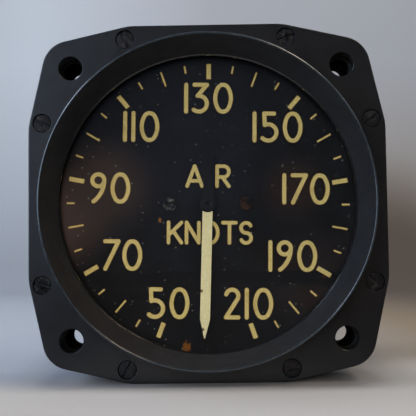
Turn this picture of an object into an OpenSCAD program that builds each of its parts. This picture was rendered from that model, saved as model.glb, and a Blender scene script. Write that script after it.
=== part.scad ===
// Airspeed indicator for a panel, 50 to 210 knots.
// Millimetres, +Z up. The dial faces -Y, and the origin is the centre of the
// four mounting holes on the front face of the flange.

/* [Flange] */
// Width and height of the square flange
flange_w = 82.55; // [81:0.05:86]
// Diameter of the circle through the mounting holes
bolt_circle_d = 88.9; // [87:0.1:91]
// Diameter of the mounting holes
bolt_hole_d = 5.5; // [4:0.1:6.5]
// Radius of the ear round each mounting hole
ear_r = 6.6; // [5.5:0.1:7.5]
// Half length of the straight middle of each side
flat_half = 17.8; // [14:0.1:19]
// Radius where a straight side turns into an ear
flat_round_r = 12; // [4:0.5:16]
// Thickness of the bezel's plate
bezel_t = 4; // [3:0.1:6]
// Thickness of the case's flange
case_flange_t = 14; // [11:0.1:16]

/* [Ring] */
// Outside diameter of the raised ring
ring_od = 76.2; // [75.5:0.1:77.2]
// Height of the ring in front of the flange
ring_h = 6; // [3:0.1:8]
// Bevel of the ring's outer front edge
ring_edge = 0.25; // [0.1:0.05:1]
// Width of the flat lip at the front of the ring
ring_lip = 0.15; // [0.1:0.05:0.8]
// Diameter of the opening in front of the glass
sight_d = 69.7; // [66:0.1:71]
// Width of the small bevel at the foot of the opening
sight_bevel = 0.5; // [0.2:0.05:0.8]
// Height of the land behind that bevel
sight_land = 0.45; // [0.2:0.05:1]

/* [Bezel screws] */
// Distance of the screws from the middle of their side
screw_off = 18.7; // [16:0.1:20]
// Distance of the screws from the edge of the flange
screw_edge = 3.2; // [3:0.05:3.5]
// Diameter of the screw heads
screw_head_d = 4.2; // [3.4:0.1:4.4]
// Height of the screw heads
screw_head_h = 1; // [0.7:0.1:1.4]
// Diameter of the screw shanks
screw_shank_d = 2.2; // [1.6:0.1:2.6]
// Length of the screws under the head
screw_len = 9.5; // [7:0.5:11]
// Width of the screwdriver slots
screw_slot_w = 0.65; // [0.4:0.05:0.9]
// How far the heads sit below the flange
screw_sink = 0.25; // [0:0.05:0.6]

/* [Window] */
// Diameter of the glass
glass_d = 75.8; // [73:0.1:76.2]
// Thickness of the glass
glass_t = 2; // [1.5:0.1:3]
// Thickness of the flat gasket behind the bezel
gasket_t = 0.5; // [0.3:0.1:1]
// Thickness of the seal behind the glass
seal_t = 0.8; // [0.5:0.1:1.5]
// Width of the ledge that carries the edge of the glass
glass_ledge = 1.4; // [1:0.1:2]

/* [Case] */
// Outside diameter of the case
case_od = 79.4; // [78.4:0.1:80.6]
// Thickness of the case's wall
case_wall = 3.1; // [2.4:0.1:3.6]
// Thickness of the case's back
case_back_t = 4; // [3:0.1:6]
// Rounding of the case's rear edge
case_round_r = 4; // [1:0.5:6]
// Radius of the ribs that carry the movement
rib_r = 3.2; // [2.6:0.1:4]
// Distance of the ribs inwards from the bore round the dial
rib_inset = 2.6; // [2:0.1:3]
// Diameter of the raised bosses round the unions
boss_d = 18; // [15:0.5:19]
// Height of those bosses
boss_h = 1; // [0.5:0.1:2]

/* [Dial] */
// Distance from the glass to the dial
dial_gap = 2.7; // [2.4:0.1:4]
// Thickness of the dial
dial_t = 0.8; // [0.5:0.1:1.2]
// Thickness of the raised markings
mark_t = 0.15; // [0.1:0.05:0.25]
// Distance of the scale from the edge of the opening
tick_margin = 0.85; // [0.4:0.05:2]
// Length of the long ticks
tick_long = 3.8; // [3:0.1:4.5]
// Length of the short ticks
tick_short = 2; // [1.5:0.1:3]
// Width of the numbered ticks
tick_wide = 1.2; // [0.8:0.05:1.6]
// Width of the plain ticks
tick_thin = 0.55; // [0.4:0.05:0.8]
// Height of the numerals
numeral_h = 7.65; // [6.5:0.05:8]
// Stroke width of the numerals
numeral_w = 1.1; // [0.8:0.05:1.3]
// Gap between the numerals of one number
numeral_gap = 0.9; // [0.6:0.05:1.2]
// Height of the letters
letter_h = 5.8; // [5:0.05:6.2]
// Stroke width of the letters
letter_w = 0.98; // [0.7:0.02:1.1]
// Height of the upper word above the centre
upper_word_z = 6.7; // [6:0.1:8]
// Depth of the lower word below the centre
lower_word_z = 6.9; // [6:0.1:8]
// Sideways shift of the lower word
lower_word_x = 0.5; // [0:0.1:1]
// Turn of the markings, which stand slightly off the flange
mark_turn = 1.1; // [0:0.1:2]
// Distance of the dial screws from the centre
dial_screw_x = 9.1; // [8:0.1:11]
// Diameter of the dial screws' heads
dial_screw_d = 3.2; // [2.4:0.1:3.6]
// Height of the dial screws' heads
dial_screw_h = 0.7; // [0.4:0.1:0.9]

/* [Pointer] */
// Width of the pointer
pointer_w = 2.4; // [1.6:0.1:3]
// Thickness of the pointer
pointer_t = 0.35; // [0.2:0.05:0.5]
// Distance of the pointer's tip from the ends of the ticks
pointer_short = 2.05; // [0.5:0.05:6]
// Length of the pointer's pointed end
pointer_point = 4.6; // [2:0.1:6]
// Width of the pointer's blunted tip
pointer_end = 0.2; // [0.1:0.1:1]
// Length of the tail from the centre
tail_len = 12.6; // [8:0.1:16]
// Thickness of the cream paint
lume_t = 0.12; // [0.05:0.01:0.2]
// Diameter of the pointer's bush
bush_d = 3.5; // [3:0.1:4.4]
// Angle of the hanging pointer from straight down
rest_lean = 2.1; // [0:0.1:4]
// Distance from the glass to the front of the pointer's bush
bush_gap = 0.5; // [0.4:0.05:0.8]

/* [Movement] */
// Thickness of the front plate
front_plate_t = 2; // [1.8:0.1:3]
// Thickness of the rear plate
rear_plate_t = 1.5; // [1.2:0.1:2.5]
// Distance between the plates
plate_gap = 18; // [17:0.5:24]
// Radius of the pillars
pillar_r = 2; // [1.6:0.1:2.6]
// Sideways distance of the pillars from the centre
pillar_x = 20; // [18:0.5:22]
// Height of the upper pillars
pillar_top = 22; // [20:0.5:23]
// Depth of the lower pillars
pillar_low = 14; // [10:0.5:18]
// Radius of the handstaff
staff_r = 0.8; // [0.7:0.05:1]
// Radius of the fine pivots
pivot_r = 0.5; // [0.4:0.05:0.6]
// Outside radius of the bearing bushes
bearing_r = 2; // [1.6:0.1:2.4]
// Gear module
gear_m = 0.3; // [0.28:0.01:0.34]
// Teeth on the pinion
pinion_teeth = 12; // [12:1:14]
// Turns of the pinion to one turn of the sector
gear_ratio = 8; // [8:1:9]
// Turn of the pointer from rest to the end of the scale
pointer_sweep = 338.5; // [300:0.5:340]
// Thickness of the sector
sector_t = 1; // [0.8:0.1:1.4]
// Length of the crank on the sector's arbor
crank_len = 5; // [4.5:0.1:5.5]
// Distance of the rocking shaft behind the rear plate
rocker_back = 16; // [15.5:0.5:18]
// Length of the arm that turns the sector
drive_len = 12; // [11.5:0.1:12.5]
// Length of the arm that the capsule pushes
push_len = 6; // [5.6:0.1:6.4]
// Turn of the rocking shaft over the whole travel
rocker_sweep = 17; // [15:0.5:18]
// Radius of the rocking shaft
rocker_r = 1; // [0.9:0.05:1.2]
// Half distance between the brackets
bracket_x = 9.5; // [8.5:0.1:10.5]

/* [Hairspring] */
// Turns of the hairspring
spring_turns = 7; // [4:1:8]
// Thickness of its wire
spring_t = 0.16; // [0.12:0.01:0.2]
// Width of its wire
spring_w = 0.6; // [0.4:0.05:0.9]
// Outside radius of the hairspring
spring_r = 7.5; // [6:0.1:8.5]
// Radius of the collet on the handstaff
collet_r = 1.6; // [1.4:0.05:1.9]

/* [Capsule] */
// Diameter of the capsule
capsule_d = 42; // [36:0.5:44]
// Thickness of the capsule
capsule_t = 7; // [6:0.1:9]
// Thickness of its metal
capsule_wall = 0.4; // [0.3:0.05:0.6]
// Depth of its corrugations
ripple_h = 0.35; // [0.2:0.05:0.5]
// Number of corrugations
ripples = 5; // [3:1:6]
// Travel of the capsule's centre
capsule_travel = 1.77; // [1.5:0.01:1.9]
// Length of the capsule's stem behind it
stem_len = 10.4; // [9:0.1:14]
// Radius of the stem
stem_r = 2.1; // [1.8:0.1:2.4]

/* [Unions] */
// Depth of the static union below the centre
static_low = 16; // [14:0.5:20]
// Width across the flats of the unions
union_af = 12; // [10:0.5:13]
// Length of the hexagon
union_hex_h = 4.5; // [3:0.5:6]
// Radius of the nipple
nipple_r = 4.8; // [4:0.1:5.2]
// Length of the nipple
nipple_len = 10; // [8:0.5:14]
// Radius of the threaded shank through the case
shank_r = 4; // [3.4:0.1:4.4]
// Bore of the unions
union_bore_r = 2.2; // [2:0.05:2.6]
// Thickness of the fibre washers
washer_t = 0.5; // [0.3:0.1:1]
// Thickness of the nuts inside the case
nut_t = 3; // [2:0.1:4]

/* [Clearances] */
// Radial clearance of a running pivot
run_clear = 0.03; // [0.01:0.01:0.08]
// Clearance of pieces that are fixed to each other
seat_clear = 0.02; // [0.01:0.01:0.05]
// Radial clearance of a screw in a plain hole
hole_clear = 0.15; // [0.1:0.05:0.3]
// Clearance of discs in the case, and of screw heads in their recesses
disc_clear = 0.3; // [0.2:0.05:0.4]
// Open gap where one arm pushes another piece
push_gap = 0.3; // [0.25:0.05:0.4]

/* [Hidden] */
$fn = 96;
// Overlap that keeps a cut from ending on a face
eps = 1;

// Flange and ring
half_w = flange_w / 2;
bolt_off = bolt_circle_d / 2 * sqrt(0.5);
ring_r = ring_od / 2;
sight_r = sight_d / 2;
screw_far = half_w - screw_edge;
head_seat_y = screw_sink + screw_head_h;
screw_hole_over = 0.5;
screw_hole_y = head_seat_y + screw_len + screw_hole_over;
screw_slots = [-64, -30, 20, 35, 61, -15, 10, -45];
corners = [[-1, 1], [1, 1], [-1, -1], [1, -1]];
screw_spots = [
    for (c = corners) each [
        [c.x * screw_off, c.y * screw_far],
        [c.x * screw_far, c.y * screw_off]
    ]
];

// Places along the depth of the instrument
case_y = bezel_t + gasket_t;
flange_back_y = case_y + case_flange_t;
glass_back_y = case_y + glass_t;
seal_back_y = glass_back_y + seal_t;
dial_y = glass_back_y + dial_gap;
dial_back_y = dial_y + dial_t;
front_plate_y = dial_back_y;
front_plate_back_y = front_plate_y + front_plate_t;
rear_plate_y = front_plate_back_y + plate_gap;
rear_plate_back_y = rear_plate_y + rear_plate_t;
rocker_y = rear_plate_back_y + rocker_back;

// Case
glass_r = glass_d / 2;
seat_r = glass_r + disc_clear;
bore_r = case_od / 2 - case_wall;
dial_bore_r = glass_r - glass_ledge;
disc_r = dial_bore_r - disc_clear;
rib_place_r = dial_bore_r - rib_inset;
rib_angles = [60, 180, 300];

// Dial and pointer
tick_r = sight_r - tick_margin;
knots_low = 50;
knots_high = 210;
knots_step = 5;
knots_mid = 130;
degrees_per_knot = 2;
// Each number, its angle from the top, and its distance inside the ends of the ticks
numbers = [
    ["130", 0, 8.4], ["110", -41, 9.3], ["150", 41.8, 9], ["90", -81, 10.2],
    ["170", 81, 10.2], ["70", -121.3, 10.2], ["190", 121.3, 10.2],
    ["50", -158.7, 8.5], ["210", 157.5, 8.3]
];
upper_word_gap = 0.82;
lower_word_gap = 0.25;
bush_y = glass_back_y + bush_gap;
bush_h = 1.4;
bush_r = bush_d / 2;
bush_lip = 0.45;
pointer_y = bush_y + bush_lip;
pointer_back_y = pointer_y + pointer_t;
pointer_len = tick_r - pointer_short;
lume_gap = 0.35;
staff_tip_r = 0.45;

// Gear train
pinion_r = gear_m * pinion_teeth / 2;
sector_r = pinion_r * gear_ratio;
gear_a = pinion_r + sector_r;
sector_sweep = pointer_sweep / gear_ratio;
tooth_pitch = 360 / (pinion_teeth * gear_ratio);
addendum = 0.8 * gear_m;
dedendum = 1.25 * gear_m;
tooth_half = 0.18 * PI * gear_m;
sector_stand = 8;
sector_y = front_plate_back_y + sector_stand;
sector_back_y = sector_y + sector_t;
pinion_over = 0.8;
pinion_y = sector_y - pinion_over;
pinion_back_y = sector_back_y + pinion_over;
sector_rim = 1.6;
hub_r = 2.4;
tail_reach = 7;
weight_r = 2;
weight_h = 2.2;
weight_pin_r = 1;
spring_stand = 3;
spring_y = front_plate_back_y + spring_stand;
collet_over = 0.6;
collet_y = spring_y - collet_over;
collet_back_y = spring_y + spring_w + collet_over;
spring_start_r = collet_r + push_gap;
stud_r = 0.7;
stud_over = 0.4;
stud_angle = 215;
mid_angle = sector_sweep / 2;
pivot_shoulder = 0.4;
plate_margin = 0.8;

// Rocking shaft and the two arms on it
crank_stand = 0.8;
crank_y = rear_plate_back_y + crank_stand;
crank_t = 1.2;
crank_hub_r = 1.8;
crank_w = 1.4;
crank_pin_r = 0.5;
crank_pin_over = 0.8;
crank_pin_back_y = rocker_y - drive_len + crank_pin_over;
arm_half = 0.5;
tilt_room = 0.15;
rocker_z = gear_a - crank_pin_r - push_gap - arm_half - tilt_room;
drive_x = crank_len * (1 + cos(mid_angle)) / 2;
drive_w = 1.5;
drive_over = 0.5;
push_w = 1.8;
push_over = 1;
arm_hub_r = 2.2;
half_rock = rocker_sweep / 2;
bracket_t = 1.2;
bracket_half_h = 4;
bracket_foot = 6;
bracket_over = 3;
bracket_screw_out = 2.9;
bracket_screw_x = bracket_x + bracket_t + bracket_screw_out;
shaft_play = 0.2;
shaft_pivot_over = 0.4;

// Capsule and the way through the back of the case
capsule_z = rocker_z - push_len * cos(half_rock);
push_tip_r = 1.2;
push_y = rocker_y + push_len * sin(half_rock) + arm_half / cos(half_rock) + push_gap;
push_disc_r = 3.5;
push_disc_t = 0.8;
push_neck = 4.3;
push_disc_y = push_y + push_neck;
push_tail_r = 1.5;
capsule_y = push_disc_y + push_disc_t + push_gap;
capsule_back_y = capsule_y + capsule_t;
push_tail_over = 0.8;
push_tail_y = capsule_y + capsule_wall + capsule_travel + push_tail_over;
capsule_r = capsule_d / 2;
rim_gap = 0.25;
rim_half = capsule_wall + rim_gap;
stem_flange_r = 4;
stem_flange_t = 1;
stem_bore_r = 1;
back_in_y = capsule_back_y + stem_len;
back_y = back_in_y + case_back_t;
boss_y = back_y + boss_h;
union_y = boss_y + washer_t;
shank_over = 2.5;
shank_in_y = back_in_y - nut_t - shank_over;
washer_over = 0.8;
washer_r = union_af / 2 + washer_over;
nipple_bevel = 0.6;
union_spots = [[0, capsule_z], [0, -static_low]];

// Small screws of the movement
small_head_r = 1.9;
small_head_h = 1;
small_shank_r = 0.9;
small_len = 5;
small_slot_w = 0.5;

bakelite = "#24262b";
cream = "#c3ab6a";
brass = "#b08d45";
steel = "#8f9398";

// A front-view drawing made as thick as y0 to y1
module slab(y0, y1) {
    translate([0, y1, 0]) rotate([90, 0, 0]) linear_extrude(y1 - y0) children();
}

// A profile of radius and depth turned about the instrument's axis
module turned() {
    rotate([-90, 0, 0]) rotate_extrude() children();
}

// A round bar along the depth at x, z
module rod(x, z, y0, y1, r) {
    translate([x, y0, z]) rotate([-90, 0, 0]) cylinder(h = y1 - y0, r = r);
}

// A slotted screw pointing along +Y, with the underside of its head at y
module slotted_screw(x, z, y, head_r, head_h, shank_r, len, slot_w, slot_angle) {
    difference() {
        union() {
            rod(x, z, y - head_h, y, head_r);
            rod(x, z, y - seat_clear, y + len, shank_r);
        }
        translate([x, y - head_h, z]) rotate([0, slot_angle, 0])
            cube([4 * head_r, head_h, slot_w], center = true);
    }
}

// Steepness of the ear edges: each is a tangent from the end of a straight side
function ear_slope(h, r) =
    let (d = [bolt_off - flat_half, bolt_off - h])
    -atan2(d.y, d.x) - asin(r / norm(d));

function swap(p) = [p.y, p.x];
function turn(p, n) = n == 0 ? p : turn([p.y, -p.x], n - 1);

// Outline of the flange, drawn smaller by inset
module flange_outline(inset = 0) {
    h = half_w - inset;
    r = ear_r - inset;
    s = ear_slope(h, r);
    run = flat_round_r * tan(s / 2);
    start = [flat_half - run, h];
    slope = [flat_half + run * cos(s), h - run * sin(s)];
    ear = [bolt_off + r * sin(s), bolt_off + r * cos(s)];
    quarter = [start, slope, ear, swap(ear), swap(slope), swap(start)];
    polygon([for (n = [0:3]) for (p = quarter) turn(p, n)]);
    for (n = [0:3]) {
        translate(turn([bolt_off, bolt_off], n)) circle(r);
        for (p = [[start.x, h - flat_round_r], [h - flat_round_r, start.x]])
            translate(turn(p, n)) circle(flat_round_r);
    }
}

module bolt_circles(r) {
    for (c = corners) translate(c * bolt_off) circle(r);
}

module screw_circles(r) {
    for (p = screw_spots) translate(p) circle(r);
}

module bezel() {
    recess_r = screw_head_d / 2 + disc_clear;
    lip_r = ring_r - ring_edge;
    front_r = lip_r - ring_lip;
    color(bakelite) difference() {
        union() {
            slab(0, bezel_t) flange_outline();
            turned() polygon([
                [0, -ring_h],
                [lip_r, -ring_h],
                [ring_r, ring_edge - ring_h],
                [ring_r, bezel_t],
                [0, bezel_t]
            ]);
        }
        turned() polygon([
            [0, -ring_h - eps],
            [front_r, -ring_h - eps],
            [front_r, -ring_h],
            [sight_r + sight_bevel, bezel_t - sight_land - sight_bevel],
            [sight_r, bezel_t - sight_land],
            [sight_r, bezel_t + eps],
            [0, bezel_t + eps]
        ]);
        slab(-eps, bezel_t + eps) bolt_circles(bolt_hole_d / 2);
        slab(-eps, bezel_t + eps) screw_circles(screw_shank_d / 2 + hole_clear);
        slab(-eps, head_seat_y) screw_circles(recess_r);
    }
}

module case() {
    color(bakelite) difference() {
        union() {
            slab(case_y, flange_back_y) flange_outline();
            turned() {
                r = case_od / 2;
                inner_r = r - case_round_r;
                translate([0, case_y]) square([r, back_y - case_round_r - case_y]);
                translate([0, case_y]) square([inner_r, back_y - case_y]);
                translate([inner_r, back_y - case_round_r]) circle(case_round_r);
            }
            for (p = union_spots) rod(p.x, p.y, back_y - eps, boss_y, boss_d / 2);
        }
        turned() translate([0, case_y - eps]) square([seat_r, seal_back_y - case_y + eps]);
        difference() {
            union() {
                rod(0, 0, case_y, front_plate_back_y + eps, dial_bore_r);
                rod(0, 0, front_plate_back_y, back_in_y, bore_r);
            }
            for (a = rib_angles) rib(a, front_plate_back_y, back_y, rib_r);
        }
        for (a = rib_angles)
            rib(a, front_plate_back_y - eps, front_plate_back_y + small_len + eps,
                small_shank_r + seat_clear);
        slab(case_y - eps, flange_back_y + eps) bolt_circles(bolt_hole_d / 2);
        slab(case_y - eps, screw_hole_y) screw_circles(screw_shank_d / 2 + seat_clear);
        for (p = union_spots) rod(p.x, p.y, back_in_y - eps, boss_y + eps, shank_r + hole_clear);
    }
}

// A round bar on one of the case's ribs
module rib(angle, y0, y1, r) {
    rod(rib_place_r * sin(angle), rib_place_r * cos(angle), y0, y1, r);
}

module case_gasket() {
    color("#3a3531") difference() {
        union() {
            slab(bezel_t, case_y) flange_outline(disc_clear);
            slab(bezel_t, case_y) circle(ring_r);
        }
        slab(bezel_t - eps, case_y + eps) {
            circle(sight_r + disc_clear);
            bolt_circles(bolt_hole_d / 2 + hole_clear);
            screw_circles(screw_shank_d / 2 + hole_clear);
        }
    }
}

module window_glass() {
    color("#cfdde4", 0.35) rod(0, 0, case_y, glass_back_y, glass_r);
}

module glass_seal() {
    color("#1b1b1c") slab(glass_back_y, seal_back_y) difference() {
        circle(glass_r);
        circle(dial_bore_r);
    }
}

module bezel_screws() {
    color("#2b2c2e")
        for (i = [0:len(screw_spots) - 1])
            slotted_screw(screw_spots[i].x, screw_spots[i].y, head_seat_y, screw_head_d / 2,
                screw_head_h, screw_shank_d / 2, screw_len, screw_slot_w, -screw_slots[i]);
}

module dial() {
    color("#1c1d22") slab(dial_y, dial_back_y) difference() {
        circle(disc_r);
        circle(bush_r);
        for (s = [-1, 1]) translate([s * dial_screw_x, 0]) circle(small_shank_r + hole_clear);
    }
}

module dial_markings() {
    color(cream) slab(dial_y - mark_t, dial_y) rotate(-mark_turn) {
        scale_ticks();
        for (n = numbers)
            translate((tick_r - n[2]) * [sin(n[1]), cos(n[1])])
                word(n[0], numeral_h, numeral_w, numeral_gap);
        translate([0, upper_word_z]) word("AIR", letter_h, letter_w, upper_word_gap);
        translate([lower_word_x, -lower_word_z]) word("KNOTS", letter_h, letter_w, lower_word_gap);
    }
}

module scale_ticks() {
    for (k = [knots_low:knots_step:knots_high]) {
        numbered = (k - knots_low) % 20 == 0;
        long = (k - knots_low) % 10 == 0;
        w = numbered ? tick_wide : tick_thin;
        rotate(-(k - knots_mid) * degrees_per_knot)
            translate([-w / 2, tick_r - (long ? tick_long : tick_short)])
                square([w, long ? tick_long : tick_short]);
    }
}

// A straight stroke with round ends
module bar(p, q, w) {
    d = q - p;
    translate(p) rotate(atan2(d.y, d.x)) {
        translate([0, -w / 2]) square([norm(d), w]);
        circle(w / 2);
        translate([norm(d), 0]) circle(w / 2);
    }
}

// A round stroke about c from angle a0 to a1, with round ends
module bow(c, r, a0, a1, w) {
    steps = ceil((a1 - a0) / 60);
    reach = 2 * (r + w);
    translate(c) {
        intersection() {
            difference() {
                circle(r + w / 2);
                circle(r - w / 2);
            }
            polygon([[0, 0], for (i = [0:steps]) reach * unit(a0 + (a1 - a0) * i / steps)]);
        }
        for (a = [a0, a1]) translate(r * unit(a)) circle(w / 2);
    }
}

function unit(a) = [cos(a), sin(a)];

// An upright oval stroke of four arcs that fills the height h and width b
module oval(b, h, w) {
    half_b = (b + w) / 2;
    end_r = 0.78 * half_b;
    end_y = (h + w) / 2 - end_r;
    away = (end_y * end_y - pow(half_b - end_r, 2)) / (2 * (half_b - end_r));
    difference() {
        oval_disc(end_r, end_y, away, half_b + away);
        oval_disc(end_r - w, end_y, away, half_b + away - w);
    }
}

module oval_disc(end_r, end_y, away, side_r) {
    join_y = end_y + end_r * end_y / norm([away, end_y]);
    for (s = [-1, 1]) translate([0, s * end_y]) circle(end_r);
    intersection() {
        translate([away, 0]) circle(side_r);
        translate([-away, 0]) circle(side_r);
        translate([-side_r, -join_y]) square([2 * side_r, 2 * join_y]);
    }
}

// Width of a glyph on its centre lines, as a share of its height there
function glyph_share(c) =
    c == "0" ? 0.58 : c == "2" ? 0.45 : c == "3" ? 0.46 : c == "5" ? 0.5 : c == "7" ? 0.4 :
    c == "9" ? 0.44 : c == "A" ? 0.74 : c == "R" ? 0.59 : c == "K" ? 0.64 : c == "N" ? 0.61 :
    c == "O" ? 0.69 : c == "T" ? 0.64 : c == "S" ? 0.5 : 0;

function glyph_left(word, i, h, w, gap) =
    i == 0 ? 0 : glyph_left(word, i - 1, h, w, gap) + glyph_share(word[i - 1]) * h + w + gap;

// A word or number centred on the origin
module word(letters, height, w, gap) {
    h = height - w;
    last = len(letters) - 1;
    full = glyph_left(letters, last, h, w, gap) + glyph_share(letters[last]) * h;
    for (i = [0:last])
        translate([glyph_left(letters, i, h, w, gap) - full / 2, -h / 2])
            glyph(letters[i], glyph_share(letters[i]) * h, h, w);
}

// One numeral or letter drawn from strokes, b wide and h high on its centre lines
module glyph(c, b, h, w) {
    if (c == "0" || c == "O") translate([b / 2, h / 2]) oval(b, h, w);
    if (c == "1" || c == "I") bar([0, 0], [0, h], w);
    if (c == "2") {
        r = b / 2;
        top = [r, h - r];
        bow(top, r, -35, 165, w);
        bar(top + r * unit(-35), [0, 0], w);
        bar([0, 0], [b, 0], w);
    }
    if (c == "3") {
        r = 0.295 * h;
        low = [b - r, r];
        bar([0, h], [b, h], w);
        bar([b, h], low + r * unit(100), w);
        bow(low, r, -130, 100, w);
    }
    if (c == "5") {
        r = 0.3 * h;
        low = [b - r, r];
        bar([0.1 * b, h], [0.82 * b, h], w);
        bar([0.1 * b, h], low + r * unit(115), w);
        bow(low, r, -135, 115, w);
    }
    if (c == "7") {
        reach = 1.22 * b;
        bar([0, h], [reach, h], w);
        bar([reach, h], [0.04 * b, 0], w);
    }
    if (c == "9") {
        r = b / 2;
        top = [r, h - r];
        translate(top) difference() {
            circle(r + w / 2);
            circle(r - w / 2);
        }
        swing = 2 * atan(0.88 * b / top.y);
        leg_r = top.y / sin(swing);
        bow([b - leg_r, top.y], leg_r, -swing, 0, w);
    }
    if (c == "A") {
        foot = 0.26;
        bar([0, 0], [b / 2, h], w);
        bar([b, 0], [b / 2, h], w);
        bar([foot * b / 2, foot * h], [b - foot * b / 2, foot * h], w);
    }
    if (c == "R") {
        r = 0.27 * h;
        waist = h - 2 * r;
        bar([0, 0], [0, h], w);
        bar([0, h], [b - r, h], w);
        bow([b - r, h - r], r, -90, 90, w);
        bar([0, waist], [b - r, waist], w);
        bar([0.45 * b, waist], [b, 0], w);
    }
    if (c == "K") {
        bar([0, 0], [0, h], w);
        bar([0, 0.36 * h], [b, h], w);
        bar([0.36 * b, 0.58 * h], [b, 0], w);
    }
    if (c == "N") {
        bar([0, 0], [0, h], w);
        bar([0, h], [b, 0], w);
        bar([b, 0], [b, h], w);
    }
    if (c == "T") {
        bar([0, h], [b, h], w);
        bar([b / 2, 0], [b / 2, h], w);
    }
    if (c == "S") {
        r = h / 4;
        bow([b / 2, h - r], r, 25, 270, w);
        bow([b / 2, r], r, -155, 90, w);
    }
}

module dial_screws() {
    color("#26262a")
        for (s = [-1, 1])
            slotted_screw(s * dial_screw_x, 0, dial_y, dial_screw_d / 2, dial_screw_h, small_shank_r,
                dial_t + front_plate_t - seat_clear, small_slot_w, s * 35);
}

// Outline of the hanging pointer's long arm from the distance r0 to its tip
module pointer_arm(r0) {
    w = pointer_w / 2;
    end = pointer_end / 2;
    shoulder = pointer_len - pointer_point;
    rotate(-rest_lean) polygon([
        [-w, -r0], [w, -r0], [w, -shoulder], [end, -pointer_len], [-end, -pointer_len], [-w, -shoulder]
    ]);
}

module pointer() {
    color("#202126") slab(pointer_y, pointer_back_y) difference() {
        union() {
            pointer_arm(0);
            rotate(-rest_lean) bar([0, 0], [0, tail_len - pointer_w / 2], pointer_w);
            circle(bush_r + lume_gap);
        }
        circle(bush_r + seat_clear);
    }
}

module pointer_lume() {
    color("#d3c794") slab(pointer_y - lume_t, pointer_y) difference() {
        pointer_arm(0);
        circle(bush_r + lume_gap);
    }
}

module pointer_bush() {
    color("#2c2d31") slab(bush_y, bush_y + bush_h) difference() {
        circle(bush_r);
        circle(staff_tip_r + seat_clear);
    }
}

module handstaff() {
    color(steel) {
        rod(0, 0, bush_y, bush_y + bush_h, staff_tip_r);
        rod(0, 0, bush_y + bush_h, rear_plate_y - pivot_shoulder, staff_r);
        rod(0, 0, rear_plate_y - pivot_shoulder, rear_plate_back_y, pivot_r);
        slab(pinion_y, pinion_back_y) {
            circle(pinion_r - dedendum);
            for (i = [0:pinion_teeth - 1])
                rotate((i + 0.5) * 360 / pinion_teeth)
                    tooth(pinion_r - dedendum, pinion_r, pinion_r + addendum);
        }
    }
}

// One gear tooth standing on the root circle and pointing up
module tooth(root_r, pitch_r, tip_r) {
    slant = tan(20);
    root_half = tooth_half + slant * (pitch_r - root_r);
    tip_half = tooth_half - slant * (tip_r - pitch_r);
    foot = 0.9 * root_r;
    polygon([[-root_half, foot], [-root_half, root_r], [-tip_half, tip_r],
        [tip_half, tip_r], [root_half, root_r], [root_half, foot]]);
}

module hairspring_collet() {
    color(brass) slab(collet_y, collet_back_y) difference() {
        circle(collet_r);
        circle(staff_r + seat_clear);
    }
}

// Radius of the hairspring's middle line after a share of its length
function spring_place(share) =
    let (
        first = spring_start_r + spring_t / 2,
        last = spring_r - spring_t / 2
    )
    (first + (last - first) * share) * unit(stud_angle - (1 - share) * spring_turns * 360);

module hairspring() {
    steps = spring_turns * 30;
    inner = [for (i = [0:steps]) let (p = spring_place(i / steps)) p * (1 - spring_t / 2 / norm(p))];
    outer = [for (i = [steps:-1:0]) let (p = spring_place(i / steps)) p * (1 + spring_t / 2 / norm(p))];
    color("#5a6b86") slab(spring_y, spring_y + spring_w) polygon(concat(inner, outer));
}

module hairspring_stud() {
    p = (spring_r + stud_r + seat_clear) * unit(stud_angle);
    color(brass) rod(p.x, p.y, front_plate_back_y, spring_y + spring_w + stud_over, stud_r);
}

function pillar_spots() =
    [for (s = [-1, 1]) each [[s * pillar_x, pillar_top], [s * pillar_x, -pillar_low]]];

module front_plate() {
    color(brass) slab_plate() {
        circle(disc_r);
        union() {
            circle(bearing_r + seat_clear);
            translate([0, gear_a]) circle(bearing_r + seat_clear);
            for (s = [-1, 1]) translate([s * dial_screw_x, 0]) circle(small_shank_r + seat_clear);
            for (p = pillar_spots()) translate(p) circle(small_shank_r + hole_clear);
            for (a = rib_angles) translate(rib_place_r * [sin(a), cos(a)]) circle(small_shank_r + hole_clear);
        }
        union() {
            for (p = pillar_spots()) translate(p) circle(small_head_r + disc_clear);
            for (a = rib_angles) translate(rib_place_r * [sin(a), cos(a)]) circle(small_head_r + disc_clear);
        }
    }
}

// The front plate from its outline, its holes and the recesses for sunk heads
module slab_plate() {
    difference() {
        slab(front_plate_y, front_plate_back_y) children(0);
        slab(front_plate_y - eps, front_plate_back_y + eps) children(1);
        slab(front_plate_y - eps, front_plate_y + small_head_h) children(2);
    }
}

module rear_plate() {
    margin = pillar_r + plate_margin;
    x0 = pillar_x + margin;
    color(brass) slab(rear_plate_y, rear_plate_back_y) difference() {
        union() {
            translate([-pillar_x, -pillar_low - margin])
                square([2 * pillar_x, pillar_low + pillar_top + 2 * margin]);
            translate([-x0, -pillar_low]) square([2 * x0, pillar_low + pillar_top]);
            for (p = pillar_spots()) translate(p) circle(margin);
        }
        circle(bearing_r + seat_clear);
        translate([0, gear_a]) circle(bearing_r + seat_clear);
        for (p = pillar_spots()) translate(p) circle(small_shank_r + hole_clear);
        for (s = [-1, 1]) translate([s * bracket_screw_x, rocker_z]) circle(small_shank_r + seat_clear);
    }
}

module plate_pillars() {
    color(brass)
        for (p = pillar_spots()) difference() {
            rod(p.x, p.y, front_plate_back_y, rear_plate_y, pillar_r);
            rod(p.x, p.y, front_plate_back_y - eps, front_plate_back_y + small_len,
                small_shank_r + seat_clear);
            rod(p.x, p.y, rear_plate_y - small_len, rear_plate_y + eps, small_shank_r + seat_clear);
        }
}

// A sunk screw in the front plate
module sunk_screw(p) {
    slotted_screw(p.x, p.y, front_plate_y + small_head_h, small_head_r, small_head_h - seat_clear,
        small_shank_r, small_len, small_slot_w, 20);
}

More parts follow.
